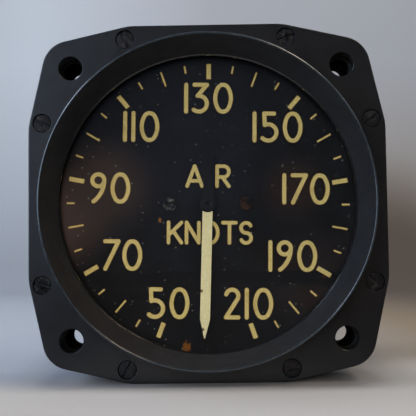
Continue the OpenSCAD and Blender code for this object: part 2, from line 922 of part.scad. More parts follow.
module pillar_screws() {
    color(steel)
        for (p = pillar_spots()) {
            sunk_screw(p);
            rotate([0, 0, 180]) slotted_screw(-p.x, p.y, -rear_plate_back_y, small_head_r, small_head_h,
                small_shank_r, small_len, small_slot_w, 50);
        }
}

module frame_screws() {
    color(steel) for (a = rib_angles) sunk_screw(rib_place_r * [sin(a), cos(a)]);
}

// A pair of bearing bushes in the two plates
module bushes(z, front_r, rear_r) {
    color(brass) {
        slab(front_plate_y, front_plate_back_y) translate([0, z]) difference() {
            circle(bearing_r);
            circle(front_r + run_clear);
        }
        slab(rear_plate_y, rear_plate_back_y) translate([0, z]) difference() {
            circle(bearing_r);
            circle(rear_r + run_clear);
        }
    }
}

module staff_bushes() {
    bushes(0, staff_r, pivot_r);
}

module sector_bushes() {
    bushes(gear_a, pivot_r, staff_r);
}

// The sector is drawn at rest, with its first teeth on the pinion
module sector_gear() {
    root = sector_r - dedendum;
    spare = 1.6 * tooth_pitch;
    far = sector_sweep + spare;
    color(brass) translate([0, 0, gear_a]) slab(sector_y, sector_back_y) difference() {
        union() {
            circle(hub_r);
            intersection() {
                difference() {
                    circle(root);
                    circle(root - sector_rim);
                }
                polygon([[0, 0], for (i = [0:2]) 2 * root * unit(-90 + spare - (far + spare) * i / 2)]);
            }
            for (k = [-1:floor(sector_sweep / tooth_pitch) + 1])
                rotate(180 - k * tooth_pitch) tooth(root, sector_r, sector_r + addendum);
            for (a = [0, sector_sweep]) bar([0, 0], (root - sector_rim / 2) * unit(-90 - a), sector_rim);
            bar([0, 0], tail_reach * unit(90 - mid_angle), sector_rim);
            translate(tail_reach * unit(90 - mid_angle)) circle(weight_r);
        }
        circle(staff_r + seat_clear);
        translate(tail_reach * unit(90 - mid_angle)) circle(weight_pin_r + seat_clear);
    }
}

module sector_arbor() {
    shoulder_y = front_plate_back_y + pivot_shoulder;
    color(steel) {
        rod(0, gear_a, front_plate_y, shoulder_y, pivot_r);
        rod(0, gear_a, shoulder_y, crank_y + crank_t, staff_r);
    }
}

module balance_weight() {
    p = [0, gear_a] + tail_reach * unit(90 - mid_angle);
    color(brass) {
        rod(p.x, p.y, sector_y, sector_back_y, weight_pin_r);
        rod(p.x, p.y, sector_back_y, sector_back_y + weight_h, weight_r);
    }
}

module sector_crank() {
    pin = crank_len * unit(-mid_angle);
    color(steel) translate([0, 0, gear_a]) {
        slab(crank_y, crank_y + crank_t) difference() {
            union() {
                circle(crank_hub_r);
                bar([0, 0], pin, crank_w);
            }
            circle(staff_r + seat_clear);
        }
        rod(pin.x, pin.y, crank_y, crank_pin_back_y, crank_pin_r);
    }
}

// A round bar along X on the rocking shaft's axis
module cross_rod(x0, x1, r) {
    translate([x0, rocker_y, rocker_z]) rotate([0, 90, 0]) cylinder(h = x1 - x0, r = r);
}

// A side-view drawing of depth and height about the rocking shaft, x0 to x1 thick
module cross_slab(x0, x1) {
    translate([x0, rocker_y, rocker_z]) rotate([90, 0, 90]) linear_extrude(x1 - x0) children();
}

module rocking_shaft() {
    body_x = bracket_x - shaft_play;
    pivot_x = bracket_x + bracket_t + shaft_pivot_over;
    color(steel) {
        cross_rod(-body_x, body_x, rocker_r);
        for (s = [-1, 1]) cross_rod(min(s * pivot_x, s * body_x), max(s * pivot_x, s * body_x), pivot_r);
    }
}

// An arm with a hub on the rocking shaft
module rocker_arm(x, w, len, angle) {
    color(brass) cross_slab(x - w / 2, x + w / 2) difference() {
        union() {
            circle(arm_hub_r);
            rotate(angle) translate([0, -arm_half]) square([len, 2 * arm_half]);
        }
        circle(rocker_r + seat_clear);
    }
}

module drive_arm() {
    rocker_arm(drive_x, drive_w, drive_len + drive_over, 180 + half_rock);
}

module capsule_arm() {
    rocker_arm(0, push_w, push_len + push_over, half_rock - 90);
}

module rocker_brackets() {
    reach = rocker_back + bracket_over;
    color(brass)
        for (s = [0, 1]) mirror([s, 0, 0]) difference() {
            union() {
                translate([bracket_x, rear_plate_back_y, rocker_z - bracket_half_h])
                    cube([bracket_t, reach, 2 * bracket_half_h]);
                translate([bracket_x, rear_plate_back_y, rocker_z - bracket_half_h])
                    cube([bracket_t + bracket_foot, bracket_t, 2 * bracket_half_h]);
            }
            cross_rod(bracket_x - eps, bracket_x + bracket_t + eps, pivot_r + run_clear);
            rod(bracket_screw_x, rocker_z, rear_plate_back_y - eps, rear_plate_back_y + bracket_t + eps,
                small_shank_r + hole_clear);
        }
}

module bracket_screws() {
    seat_y = rear_plate_back_y + bracket_t;
    color(steel)
        for (s = [-1, 1])
            rotate([0, 0, 180]) slotted_screw(s * bracket_screw_x, rocker_z, -seat_y, small_head_r,
                small_head_h, small_shank_r, bracket_t + rear_plate_t, small_slot_w, 30);
}

module capsule_push_pin() {
    neck_y = push_y + push_tip_r;
    color(brass) translate([0, 0, capsule_z]) turned() {
        intersection() {
            translate([0, neck_y]) circle(push_tip_r);
            translate([0, push_y]) square(push_tip_r);
        }
        translate([0, neck_y]) square([push_tip_r, push_disc_y - neck_y]);
        translate([0, push_disc_y]) square([push_disc_r, push_disc_t]);
        translate([0, push_disc_y]) square([push_tail_r, push_tail_y - push_disc_y]);
    }
}

// Half thickness of the rippled capsule at a radius
function capsule_half(r, r0) =
    let (full = capsule_t / 2 - ripple_h)
    rim_half + (full - rim_half) * (1 - pow(r / capsule_r, 5))
    + ripple_h * sin(360 * ripples * (r - r0) / (capsule_r - r0)) * (1 - pow(r / capsule_r, 8));

// One skin of the capsule from its hole to its rim, on the front or back
function capsule_skin(r0, r1, side, lift) =
    let (steps = 40)
    [for (i = [0:steps]) let (r = r0 + (r1 - r0) * i / steps)
        [r, capsule_y + capsule_t / 2 + side * (capsule_half(r, push_tail_r) - lift)]];

function backwards(list) = [for (i = [len(list) - 1:-1:0]) list[i]];

module capsule() {
    front_r = push_tail_r + run_clear;
    rim_r = capsule_r - capsule_wall;
    color("#b98f4c") translate([0, 0, capsule_z]) turned() polygon(concat(
        capsule_skin(front_r, capsule_r, -1, 0),
        backwards(capsule_skin(stem_bore_r, capsule_r, 1, 0)),
        capsule_skin(stem_bore_r, rim_r, 1, capsule_wall),
        backwards(capsule_skin(front_r, rim_r, -1, capsule_wall))
    ));
}

module capsule_stem() {
    seat_y = capsule_back_y;
    color(brass) translate([0, 0, capsule_z]) difference() {
        union() {
            rod(0, 0, seat_y, seat_y + stem_flange_t, stem_flange_r);
            rod(0, 0, seat_y, back_in_y, stem_r);
        }
        rod(0, 0, seat_y - eps, back_in_y + eps, stem_bore_r);
    }
}

// A pressure union through the back of the case
module pressure_union(p) {
    hex_r = union_af / sqrt(3);
    end_y = union_y + union_hex_h;
    color(brass) translate([p.x, 0, p.y]) difference() {
        union() {
            slab(union_y, end_y) circle(hex_r, $fn = 6);
            rod(0, 0, shank_in_y, union_y, shank_r);
            turned() polygon([
                [0, end_y], [nipple_r, end_y], [nipple_r, end_y + nipple_len - nipple_bevel],
                [nipple_r - nipple_bevel, end_y + nipple_len], [0, end_y + nipple_len]
            ]);
        }
        rod(0, 0, shank_in_y - eps, end_y + nipple_len + eps, union_bore_r);
    }
}

module pitot_union() {
    pressure_union(union_spots[0]);
}

module static_union() {
    pressure_union(union_spots[1]);
}

module union_washers() {
    color("#7a2f22")
        for (p = union_spots) slab(boss_y, union_y) translate(p) difference() {
            circle(washer_r);
            circle(shank_r + hole_clear);
        }
}

module union_nuts() {
    color(brass)
        for (p = union_spots) slab(back_in_y - nut_t, back_in_y) translate(p) difference() {
            circle(union_af / sqrt(3), $fn = 6);
            circle(shank_r + seat_clear);
        }
}

bezel();
case();
case_gasket();
window_glass();
glass_seal();
bezel_screws();
dial();
dial_markings();
dial_screws();
pointer();
pointer_lume();
pointer_bush();
handstaff();
hairspring_collet();
hairspring();
hairspring_stud();
front_plate();
rear_plate();
plate_pillars();
pillar_screws();
frame_screws();
staff_bushes();
sector_bushes();
sector_gear();
sector_arbor();
balance_weight();
sector_crank();
rocking_shaft();
drive_arm();
capsule_arm();
rocker_brackets();
bracket_screws();
capsule_push_pin();
capsule();
capsule_stem();
pitot_union();
static_union();
union_washers();
union_nuts();
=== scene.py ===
"""Airspeed indicator for a panel: finishes, modelled details, light and camera.

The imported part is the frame. Lengths are in metres, +Z is up and the dial faces -Y.
"""

import logging
import math
from collections.abc import Callable, Sequence
from dataclasses import dataclass
from enum import Enum, IntEnum

import bpy
from mathutils import Matrix, Vector


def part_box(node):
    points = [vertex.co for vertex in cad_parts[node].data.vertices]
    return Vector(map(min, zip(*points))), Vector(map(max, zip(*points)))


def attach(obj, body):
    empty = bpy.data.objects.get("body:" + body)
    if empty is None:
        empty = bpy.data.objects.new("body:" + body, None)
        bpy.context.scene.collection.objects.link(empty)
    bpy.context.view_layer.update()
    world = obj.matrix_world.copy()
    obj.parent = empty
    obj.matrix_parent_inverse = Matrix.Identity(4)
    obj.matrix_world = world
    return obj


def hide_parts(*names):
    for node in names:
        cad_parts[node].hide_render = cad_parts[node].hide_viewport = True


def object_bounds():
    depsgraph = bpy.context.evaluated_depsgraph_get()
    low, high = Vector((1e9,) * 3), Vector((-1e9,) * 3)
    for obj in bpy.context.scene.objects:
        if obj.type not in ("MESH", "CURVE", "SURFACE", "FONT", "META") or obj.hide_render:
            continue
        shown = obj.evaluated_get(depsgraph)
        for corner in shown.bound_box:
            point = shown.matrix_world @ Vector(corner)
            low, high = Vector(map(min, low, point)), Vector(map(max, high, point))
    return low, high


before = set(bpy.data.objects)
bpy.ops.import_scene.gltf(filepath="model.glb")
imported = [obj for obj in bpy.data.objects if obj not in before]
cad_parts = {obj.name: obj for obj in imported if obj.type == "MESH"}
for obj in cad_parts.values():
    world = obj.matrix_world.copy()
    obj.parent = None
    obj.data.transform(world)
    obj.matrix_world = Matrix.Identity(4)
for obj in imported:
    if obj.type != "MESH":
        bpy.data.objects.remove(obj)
CAD_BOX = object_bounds()

Piece = bpy.types.Object
Face = bpy.types.MeshPolygon
Tree = bpy.types.NodeTree
Socket = bpy.types.NodeSocket
Pair = tuple[float, float]
Triple = tuple[float, float, float]
Colour = tuple[float, float, float, float]
Tone = Socket | Colour

LOG = logging.getLogger("airspeed_indicator")
MM = 0.001
# Corners of loose triangles nearer than this are one corner
MERGE = 0.001 * MM
# Faces that meet at less than FLAT are one face, and edges over SHARP are edges of the object
FLAT = math.radians(0.3)
SHARP = math.radians(28)
# A face looks along an axis if its normal has more than this share of it
FACING = 0.9
# A fleck is full within the first share of its half width and gone past the second
FLECK_FADE = (0.6, 1.3)
# What the window mirrors of the room fades from this share of its reach on
GLIMPSE_CORE = 0.2


class Body(Enum):
    """Bodies that pieces ride on."""

    HOUSING = "housing"
    POINTER = "pointer_spindle"


class Slot(Enum):
    """Material slots of the part's record."""

    BAKELITE = "bakelite"
    SCREW = "blackened_screw"
    CREAM = "cream_paint"
    POINTER_BLACK = "pointer_black"
    POINTER_CREAM = "pointer_cream"
    BRASS = "brass"


class Skin(IntEnum):
    """Places of a piece's finishes among its materials, after that of its body at 0."""

    EDGE = 1
    BORE = 2
    BEVEL = 3
    FUNNEL = 4


class Element(Enum):
    """What is selected in edit mode."""

    CORNER = "VERT"
    EDGE = "EDGE"
    FACE = "FACE"


class Easing(Enum):
    """How a share changes across its band."""

    EVEN = "LINEAR"
    SOFT = "SMOOTHSTEP"


def linear(colour: str) -> Colour:
    """Turn an sRGB hex colour into linear RGBA.

    Args:
        colour: colour as #rrggbb.

    Returns:
        Linear red, green and blue, with alpha 1.
    """
    shares = [int(colour[i:i + 2], 16) / 255 for i in (1, 3, 5)]
    return (*[s / 12.92 if s <= 0.04045 else ((s + 0.055) / 1.055) ** 2.4 for s in shares], 1.0)


def per_mm(size: float) -> float:
    """Return the texture scale at which a pattern's features are size millimetres wide."""
    return 1 / (size * MM)


def add(tree: Tree, kind: str, inputs: dict | None = None, **settings: str) -> bpy.types.Node:
    """Add a shader node with its settings and links.

    Args:
        tree: node tree that gets the node.
        kind: the node's type without its prefix.
        inputs: a value or another node's output for each input name or number.
        settings: properties of the node.

    Returns:
        The new node.
    """
    node = tree.nodes.new("ShaderNode" + kind)
    for name, value in settings.items():
        setattr(node, name, value)
    for key, value in (inputs or {}).items():
        if isinstance(value, bpy.types.NodeSocket):
            tree.links.new(value, node.inputs[key])
        else:
            node.inputs[key].default_value = value
    return node


def blend(
    tree: Tree, value: Socket, band: Pair, under: Tone, over: Tone,
    shares: Pair = (0.0, 1.0), easing: Easing = Easing.EVEN,
) -> Socket:
    """Lay a colour over another by a share that follows a value.

    Args:
        tree: node tree of the material or the room.
        value: what the share follows.
        band: values between which the share changes.
        under: the lower colour.
        over: the upper colour.
        shares: shares of the upper colour at the band's ends.
        easing: how the share changes across the band.

    Returns:
        The blended colour.
    """
    share = add(tree, "MapRange", {
        "Value": value, "From Min": band[0], "From Max": band[1], "To Min": shares[0], "To Max": shares[1],
    }, interpolation_type=easing.value)
    return add(tree, "Mix", {0: share.outputs[0], 6: under, 7: over}, data_type="RGBA").outputs[2]


@dataclass(frozen=True)
class Grain:
    """Noise with features of a real size, of which the band from low to high counts."""

    size_mm: float
    detail: float
    low: float = 0.0
    high: float = 1.0
    twist: float = 0.0

    def inputs(self, place: Socket) -> dict[str, float | Socket]:
        """Return the noise's inputs at a place."""
        scale = per_mm(self.size_mm)
        return {"Vector": place, "Scale": scale, "Detail": self.detail, "Distortion": self.twist}

    def values(self, tree: Tree, place: Socket, lowest: float, highest: float) -> Socket:
        """Let a value follow the noise.

        Args:
            tree: the material's node tree.
            place: Object coordinates in metres.
            lowest: value at the band's low end.
            highest: value at its high end.

        Returns:
            The value.
        """
        noise = add(tree, "TexNoise", self.inputs(place))
        return add(tree, "MapRange", {
            "Value": noise.outputs[0], "From Min": self.low, "From Max": self.high,
            "To Min": lowest, "To Max": highest,
        }).outputs[0]

    def patches(self, tree: Tree, place: Socket, under: Tone, over: str, cover: float = 1.0) -> Socket:
        """Lay a colour over another in patches.

        Args:
            tree: the material's node tree.
            place: Object coordinates in metres.
            under: the colour between the patches.
            over: the patches' colour.
            cover: how far a patch hides what it lies on.

        Returns:
            The patchy colour.
        """
        noise = add(tree, "TexNoise", self.inputs(place))
        return blend(tree, noise.outputs[0], (self.low, self.high), under, linear(over), (0.0, cover))

    def relief(self, tree: Tree, place: Socket, strength: float, depth_mm: float) -> Socket:
        """Raise and sink the surface with the noise.

        Args:
            tree: the material's node tree.
            place: Object coordinates in metres.
            strength: share of the relief that shows.
            depth_mm: height from its lowest to its highest place.

        Returns:
            The surface's normal.
        """
        noise = add(tree, "TexNoise", self.inputs(place))
        return add(tree, "Bump", {
            "Height": noise.outputs[0], "Strength": strength, "Distance": depth_mm * MM,
        }).outputs[0]


@dataclass(frozen=True)
class SoftPatch:
    """A patch of colour with a soft outline, on a surface or in the room."""

    colour: str
    middle: Triple
    inner: float
    outer: float
    squeeze: Triple = (1.0, 1.0, 1.0)
    cover: float = 1.0
    easing: Easing = Easing.EVEN

    def over(self, tree: Tree, place: Socket, under: Tone) -> Socket:
        """Lay the patch over a colour.

        Args:
            tree: node tree of the material or the room.
            place: Object coordinates in metres, or the way that the room is looked at.
            under: the colour under the patch.

        Returns:
            The colour with the patch on it.
        """
        drawn = add(tree, "VectorMath", {0: place, 1: self.squeeze}, operation="MULTIPLY")
        away = add(tree, "VectorMath", {0: drawn.outputs[0], 1: self.middle}, operation="DISTANCE")
        return blend(
            tree, away.outputs["Value"], (self.inner, self.outer), under, linear(self.colour),
            (self.cover, 0.0), self.easing,
        )


def fleck(x: float, z: float, size: float, colour: str, cover: float) -> SoftPatch:
    """Describe a fleck of dirt or rust on a face that looks along -Y.

    Args:
        x: its place to the right of the axis, in millimetres.
        z: its place above the axis, in millimetres.
        size: its width in millimetres.
        colour: its colour.
        cover: how far it hides what it lies on.

    Returns:
        The fleck.
    """
    inner, outer = (share * size * MM / 2 for share in FLECK_FADE)
    return SoftPatch(colour, (x * MM, 0.0, z * MM), inner, outer, (1.0, 0.0, 1.0), cover)


def glimpse(way: Triple, reach: float, colour: str) -> SoftPatch:
    """Describe something coloured in the room, which the window mirrors faintly."""
    return SoftPatch(colour, way, GLIMPSE_CORE * reach, reach, easing=Easing.SOFT)


@dataclass(frozen=True)
class Finish:
    """A surface finish, made into a material at its first use."""

    name: str

    def material(self) -> bpy.types.Material:
        """Make the finish's material, unless it is there already.

        Returns:
            The material.
        """
        known = bpy.data.materials.get(self.name)
        if known is not None:
            return known
        material = bpy.data.materials.new(self.name)
        material.use_nodes = True
        tree = material.node_tree
        tree.nodes.clear()
        place = add(tree, "TexCoord").outputs["Object"]
        add(tree, "OutputMaterial", {"Surface": self.dress(tree, place)})
        return material

    def dress(self, tree: Tree, place: Socket) -> Socket:
        """Make the finish's shader with its colours and patterns.

        Args:
            tree: the material's node tree.
            place: Object coordinates in metres.

        Returns:
            The output that the surface shows.
        """
        raise NotImplementedError


@dataclass(frozen=True)
class MouldedBakelite(Finish):
    """Phenolic moulding: an even satin black with a faint cool mottle and fine grain."""

    body: str = "#0b0c0e"
    mottle: str = "#101113"
    dust: str = "#5b5b58"
    mottling: Grain = Grain(7.0, 5.0, 0.35, 0.68)
    # Dust sits in the grain as single pale grains
    grain: Grain = Grain(0.4, 3.0, 0.66, 0.76)
    handling: Grain = Grain(3.0, 8.0, 0.35, 0.65)
    dust_share: float = 0.4
    smooth: float = 0.31
    rough: float = 0.38
    grain_share: float = 0.6
    grain_depth_mm: float = 0.012
    ior: float = 1.7

    def dress(self, tree: Tree, place: Socket) -> Socket:
        """Lay mottle and dust on the black, smoother where hands have been.

        Args:
            tree: the material's node tree.
            place: Object coordinates in metres.

        Returns:
            The output that the surface shows.
        """
        skin = self.mottling.patches(tree, place, linear(self.body), self.mottle)
        return add(tree, "BsdfPrincipled", {
            "Base Color": self.grain.patches(tree, place, skin, self.dust, self.dust_share),
            "Roughness": self.handling.values(tree, place, self.smooth, self.rough),
            "Normal": self.grain.relief(tree, place, self.grain_share, self.grain_depth_mm),
            "IOR": self.ior,
        }).outputs[0]


@dataclass(frozen=True)
class DialPaint(Finish):
    """Matt black enamel on the dial: soft, a little blue, with old dust and a few rust flecks."""

    body: str = "#141417"
    worn: str = "#19191e"
    dust: str = "#b5b2a6"
    wear: Grain = Grain(9.0, 4.0, 0.35, 0.65)
    grit: Grain = Grain(0.5, 2.0)
    grit_share: float = 0.4
    grit_depth_mm: float = 0.01
    # Dust lies one soft-edged grain to a cell of this size, and only in some cells
    cell_mm: float = 1.3
    dust_mm: float = 0.17
    dust_core: float = 0.5
    dust_share: float = 0.75
    dusty_cells: Pair = (0.4, 0.9)
    # The flecks' outlines are ragged by noise, over this width
    ragged: Grain = Grain(0.7, 3.0)
    ragged_mm: float = 2.6
    rough: float = 0.62
    ior: float = 1.3
    flecks: tuple[SoftPatch, ...] = ()

    def dusted(self, tree: Tree, place: Socket, paint: Socket) -> Socket:
        """Strew grains of dust on the paint.

        Args:
            tree: the material's node tree.
            place: Object coordinates in metres.
            paint: the paint's colour.

        Returns:
            The colour with the dust on it.
        """
        cell = add(tree, "TexVoronoi", {"Vector": place, "Scale": per_mm(self.cell_mm)})
        reach = self.dust_mm / self.cell_mm
        speck = add(tree, "MapRange", {
            "Value": cell.outputs["Distance"], "From Min": self.dust_core * reach, "From Max": reach,
            "To Min": self.dust_share, "To Max": 0.0,
        })
        chance = add(tree, "SeparateXYZ", {"Vector": cell.outputs["Color"]})
        some = add(tree, "MapRange", {
            "Value": chance.outputs["X"], "From Min": self.dusty_cells[0], "From Max": self.dusty_cells[1],
        })
        share = add(tree, "Math", {0: speck.outputs[0], 1: some.outputs[0]}, operation="MULTIPLY")
        return add(tree, "Mix", {
            0: share.outputs[0], 6: paint, 7: linear(self.dust),
        }, data_type="RGBA").outputs[2]

    def dress(self, tree: Tree, place: Socket) -> Socket:
        """Lay wear, dust and flecks on the black.

        Args:
            tree: the material's node tree.
            place: Object coordinates in metres.

        Returns:
            The output that the surface shows.
        """
        paint = self.wear.patches(tree, place, linear(self.body), self.worn)
        colour = self.dusted(tree, place, paint)
        noise = add(tree, "TexNoise", self.ragged.inputs(place))
        width = self.ragged_mm * MM
        shaken = add(tree, "VectorMath", {
            0: noise.outputs["Color"], 1: (width,) * 3, 2: place,
        }, operation="MULTIPLY_ADD")
        centred = add(tree, "VectorMath", {0: shaken.outputs[0], 1: (width / 2,) * 3}, operation="SUBTRACT")
        for patch in self.flecks:
            colour = patch.over(tree, centred.outputs[0], colour)
        return add(tree, "BsdfPrincipled", {
            "Base Color": colour, "Roughness": self.rough, "IOR": self.ior,
            "Normal": self.grit.relief(tree, place, self.grit_share, self.grit_depth_mm),
        }).outputs[0]


@dataclass(frozen=True)
class LumePaint(Finish):
    """Aged luminous paint: a thick grainy cream, browned in patches."""

    body: str = "#c2ad6c"
    pale: str = "#dccb92"
    brown: str = "#977b46"
    grain: Grain = Grain(0.3, 3.0, 0.4, 0.72)
    stain: Grain = Grain(3.5, 4.0, 0.56, 0.78)
    stain_share: float = 0.5
    grain_share: float = 0.7
    grain_depth_mm: float = 0.03
    rough: float = 0.8
    ior: float = 1.45
    flecks: tuple[SoftPatch, ...] = ()

    def dress(self, tree: Tree, place: Socket) -> Socket:
        """Lay pale grains, brown stains and flecks on the cream.

        Args:
            tree: the material's node tree.
            place: Object coordinates in metres.

        Returns:
            The output that the surface shows.
        """
        paint = self.grain.patches(tree, place, linear(self.body), self.pale)
        colour = self.stain.patches(tree, place, paint, self.brown, self.stain_share)
        for patch in self.flecks:
            colour = patch.over(tree, place, colour)
        return add(tree, "BsdfPrincipled", {
            "Base Color": colour, "Roughness": self.rough, "IOR": self.ior,
            "Normal": self.grain.relief(tree, place, self.grain_share, self.grain_depth_mm),
        }).outputs[0]


@dataclass(frozen=True)
class BlackenedSteel(Finish):
    """Chemically blackened steel: dull black, rubbed to grey on high spots, with rust in places."""

    body: str = "#131315"
    rubbed: str = "#2c2c2e"
    rust: str = "#5a3a22"
    wear: Grain = Grain(1.2, 5.0, 0.48, 0.7)
    rusting: Grain = Grain(2.4, 4.0, 0.62, 0.74)
    rust_share: float = 0.35
    wear_share: float = 0.8
    wear_depth_mm: float = 0.05
    metallic: float = 0.35
    rough: float = 0.5

    def dress(self, tree: Tree, place: Socket) -> Socket:
        """Lay rubbed places and rust on the black.

        Args:
            tree: the material's node tree.
            place: Object coordinates in metres.

        Returns:
            The output that the surface shows.
        """
        steel = self.wear.patches(tree, place, linear(self.body), self.rubbed)
        return add(tree, "BsdfPrincipled", {
            "Base Color": self.rusting.patches(tree, place, steel, self.rust, self.rust_share),
            "Normal": self.wear.relief(tree, place, self.wear_share, self.wear_depth_mm),
            "Metallic": self.metallic, "Roughness": self.rough,
        }).outputs[0]


@dataclass(frozen=True)
class WindowGlass(Finish):
    """Flat soda-lime glass: clear and slightly green, with the faint haze of old cleaning."""

    tint: str = "#f8faf8"
    smear: Grain = Grain(6.0, 6.0, 0.45, 0.75)
    clean: float = 0.01
    hazy: float = 0.06
    ior: float = 1.5

    def dress(self, tree: Tree, place: Socket) -> Socket:
        """Smear the clear pane.

        Args:
            tree: the material's node tree.
            place: Object coordinates in metres.

        Returns:
            The output that the surface shows.
        """
        pane = add(tree, "BsdfPrincipled", {
            "Base Color": linear(self.tint), "IOR": self.ior, "Transmission Weight": 1.0,
            "Roughness": self.smear.values(tree, place, self.clean, self.hazy),
        })
        # Lamps reach the dial straight through the pane
        clear = add(tree, "BsdfTransparent", {"Color": linear(self.tint)})
        path = add(tree, "LightPath")
        return add(tree, "MixShader", {
            0: path.outputs["Is Shadow Ray"], 1: pane.outputs[0], 2: clear.outputs[0],
        }).outputs[0]


@dataclass(frozen=True)
class WorkedMetal(Finish):
    """Bare worked metal: fine lathe or file lines, with a little tarnish in patches."""

    body: str = "#b08f4c"
    tarnish: str = "#7c6132"
    tarnishing: Grain = Grain(4.0, 5.0, 0.5, 0.78)
    lines: Grain = Grain(0.12, 2.0, 0.3, 0.7)
    stretch: Triple = (1.0, 0.06, 1.0)
    smooth: float = 0.25
    rough: float = 0.42
    line_share: float = 0.3
    line_depth_mm: float = 0.004

    def dress(self, tree: Tree, place: Socket) -> Socket:
        """Lay tarnish on the metal and draw its lines out.

        Args:
            tree: the material's node tree.
            place: Object coordinates in metres.

        Returns:
            The output that the surface shows.
        """
        run = add(tree, "Mapping", {"Vector": place, "Scale": self.stretch}).outputs[0]
        return add(tree, "BsdfPrincipled", {
            "Base Color": self.tarnishing.patches(tree, place, linear(self.body), self.tarnish),
            "Roughness": self.lines.values(tree, run, self.smooth, self.rough),
            "Normal": self.lines.relief(tree, run, self.line_share, self.line_depth_mm),
            "Metallic": 1.0,
        }).outputs[0]


@dataclass(frozen=True)
class PressedFibre(Finish):
    """Vulcanised fibre or rubber sheet: matt, with short pale and dark threads pressed flat."""

    body: str = "#6d2a20"
    thread: str = "#8d4433"
    threads: Grain = Grain(0.5, 4.0, 0.42, 0.66, twist=1.5)
    thread_share: float = 0.5
    thread_depth_mm: float = 0.03
    rough: float = 0.75

    def dress(self, tree: Tree, place: Socket) -> Socket:
        """Lay threads in the sheet.

        Args:
            tree: the material's node tree.
            place: Object coordinates in metres.

        Returns:
            The output that the surface shows.
        """
        return add(tree, "BsdfPrincipled", {
            "Base Color": self.threads.patches(tree, place, linear(self.body), self.thread),
            "Normal": self.threads.relief(tree, place, self.thread_share, self.thread_depth_mm),
            "Roughness": self.rough,
        }).outputs[0]


@dataclass(frozen=True)
class StudioPaper(Finish):
    """Pale seamless paper: matt and even, cooler where it runs back, with painted shade that makes it warm
    and dim at the right.
    """

    floor: str = "#807f7e"
    back: str = "#6d737b"
    # Painted shade: the back paper turns this warm dim tone towards the right, standing in for the object's
    # shadow there
    right: str = "#5f5547"
    wall: str = "#9da4ac"
    # Painted shade: the wall dims to this tone towards the right, where less light falls
    wall_right_shade: str = "#85888d"
    rough: float = 0.9
    # The cooler paper starts along a line that runs back to the right
    back_line: Triple = (-0.3, 1.0, 0.0)
    back_band: Pair = (0.0, 30 * MM)
    right_band: Pair = (-0.02, 0.08)
    wall_band: Pair = (-0.02, 0.2)
    wall_right_band: Pair = (-0.2, 0.0)
    # Painted shadow of the object, warm and dark, on the paper behind it to the right
    shade: SoftPatch = SoftPatch(
        "#3d352f", (0.16, 0.12, -0.02), 0.035, 0.14, (1.0, 0.25, 1.0), 0.95, Easing.SOFT,
    )
    # Painted reflection: glossy rays see the paper before the object as a dark room with something brown at
    # the right, and near the flange's foot as lighter paper, so the glass and the foot of the flange mirror
    # these painted colours
    mirrored: str = "#0e0d0c"
    brown: SoftPatch = SoftPatch("#4a382e", (88 * MM, -54 * MM, 0.0), 18 * MM, 68 * MM, (1.0, 0.2, 0.0))
    near: SoftPatch = SoftPatch("#716f6c", (0.0, -16 * MM, 0.0), 14 * MM, 34 * MM, (0.55, 1.0, 0.0))
    # The painted reflection covers only the paper before the object
    ahead_band: Pair = (0.0, 60 * MM)

    def dress(self, tree: Tree, place: Socket) -> Socket:
        """Tint the paper with painted shade and a painted shadow, and paint what glossy rays see of it as a
        painted reflection.

        Args:
            tree: the material's node tree.
            place: Object coordinates in metres.

        Returns:
            The output that the surface shows.
        """
        axes = add(tree, "SeparateXYZ", {"Vector": place}).outputs
        behind = add(tree, "VectorMath", {0: place, 1: self.back_line}, operation="DOT_PRODUCT")
        # Painted shade: the back paper and the wall darken towards the right
        back = blend(tree, axes["X"], self.right_band, linear(self.back), linear(self.right))
        wall = blend(tree, axes["X"], self.wall_right_band, linear(self.wall), linear(self.wall_right_shade))
        floor = blend(tree, behind.outputs["Value"], self.back_band, linear(self.floor), back)
        sheet = blend(tree, axes["Z"], self.wall_band, floor, wall)
        # The painted shadow lies over the tinted paper
        paper = add(tree, "BsdfPrincipled", {
            "Base Color": self.shade.over(tree, place, sheet), "Roughness": self.rough,
        })
        # Painted reflection: the colours that glossy rays see on the paper before the object
        room = self.brown.over(tree, place, linear(self.mirrored))
        mirrored = add(tree, "BsdfDiffuse", {"Color": self.near.over(tree, place, room)})
        ahead = add(tree, "MapRange", {
            "Value": axes["Y"], "From Min": self.ahead_band[0], "From Max": self.ahead_band[1],
            "To Min": 1.0, "To Max": 0.0,
        })
        path = add(tree, "LightPath")
        share = add(tree, "Math", {
            0: path.outputs["Is Glossy Ray"], 1: ahead.outputs[0],
        }, operation="MULTIPLY")
        return add(tree, "MixShader", {
            0: share.outputs[0], 1: paper.outputs[0], 2: mirrored.outputs[0],
        }).outputs[0]


BAKELITE = MouldedBakelite("moulded_black_bakelite")
# Handling has polished the edges, so they catch the light
BAKELITE_EDGE = MouldedBakelite(
    "polished_bakelite_edge", body="#1a2025", mottle="#262f36", mottling=Grain(1.5, 5.0, 0.35, 0.68),
    smooth=0.14, rough=0.2, ior=2.0,
)
# The opening's inner edge is smooth but dark, and shows only where a lamp strikes it
BAKELITE_BEVEL = MouldedBakelite(
    "smooth_bakelite_bevel", body="#121315", mottle="#17181b", dust_share=0.1,
    smooth=0.1, rough=0.14, ior=2.0,
)
# Dust clings to the sloping inside of the ring and takes its gloss; its paler body is partly that dust and
# partly painted light, which brightens faces that the lamps hardly reach
BAKELITE_FUNNEL = MouldedBakelite(
    "dusty_bakelite_funnel_with_painted_light", body="#222326", mottle="#28292c", smooth=0.6, rough=0.75, ior=1.25,
)
# The drilled holes are unpolished and full of old dirt, so they stay dark
BORE = MouldedBakelite("drilled_bakelite_bore", body="#0b0b0a", mottle="#11110f", smooth=0.45, rough=0.65)
DIAL_PAINT = DialPaint("matt_black_dial_enamel", flecks=(
    fleck(-5.5, -34.0, 2.0, "#7a4a1c", 0.85),
    fleck(-11.6, -3.6, 1.0, "#8a5a24", 0.85),
    fleck(27.2, -17.9, 0.8, "#7a4418", 0.7),
))
LUME = LumePaint("aged_luminous_paint")
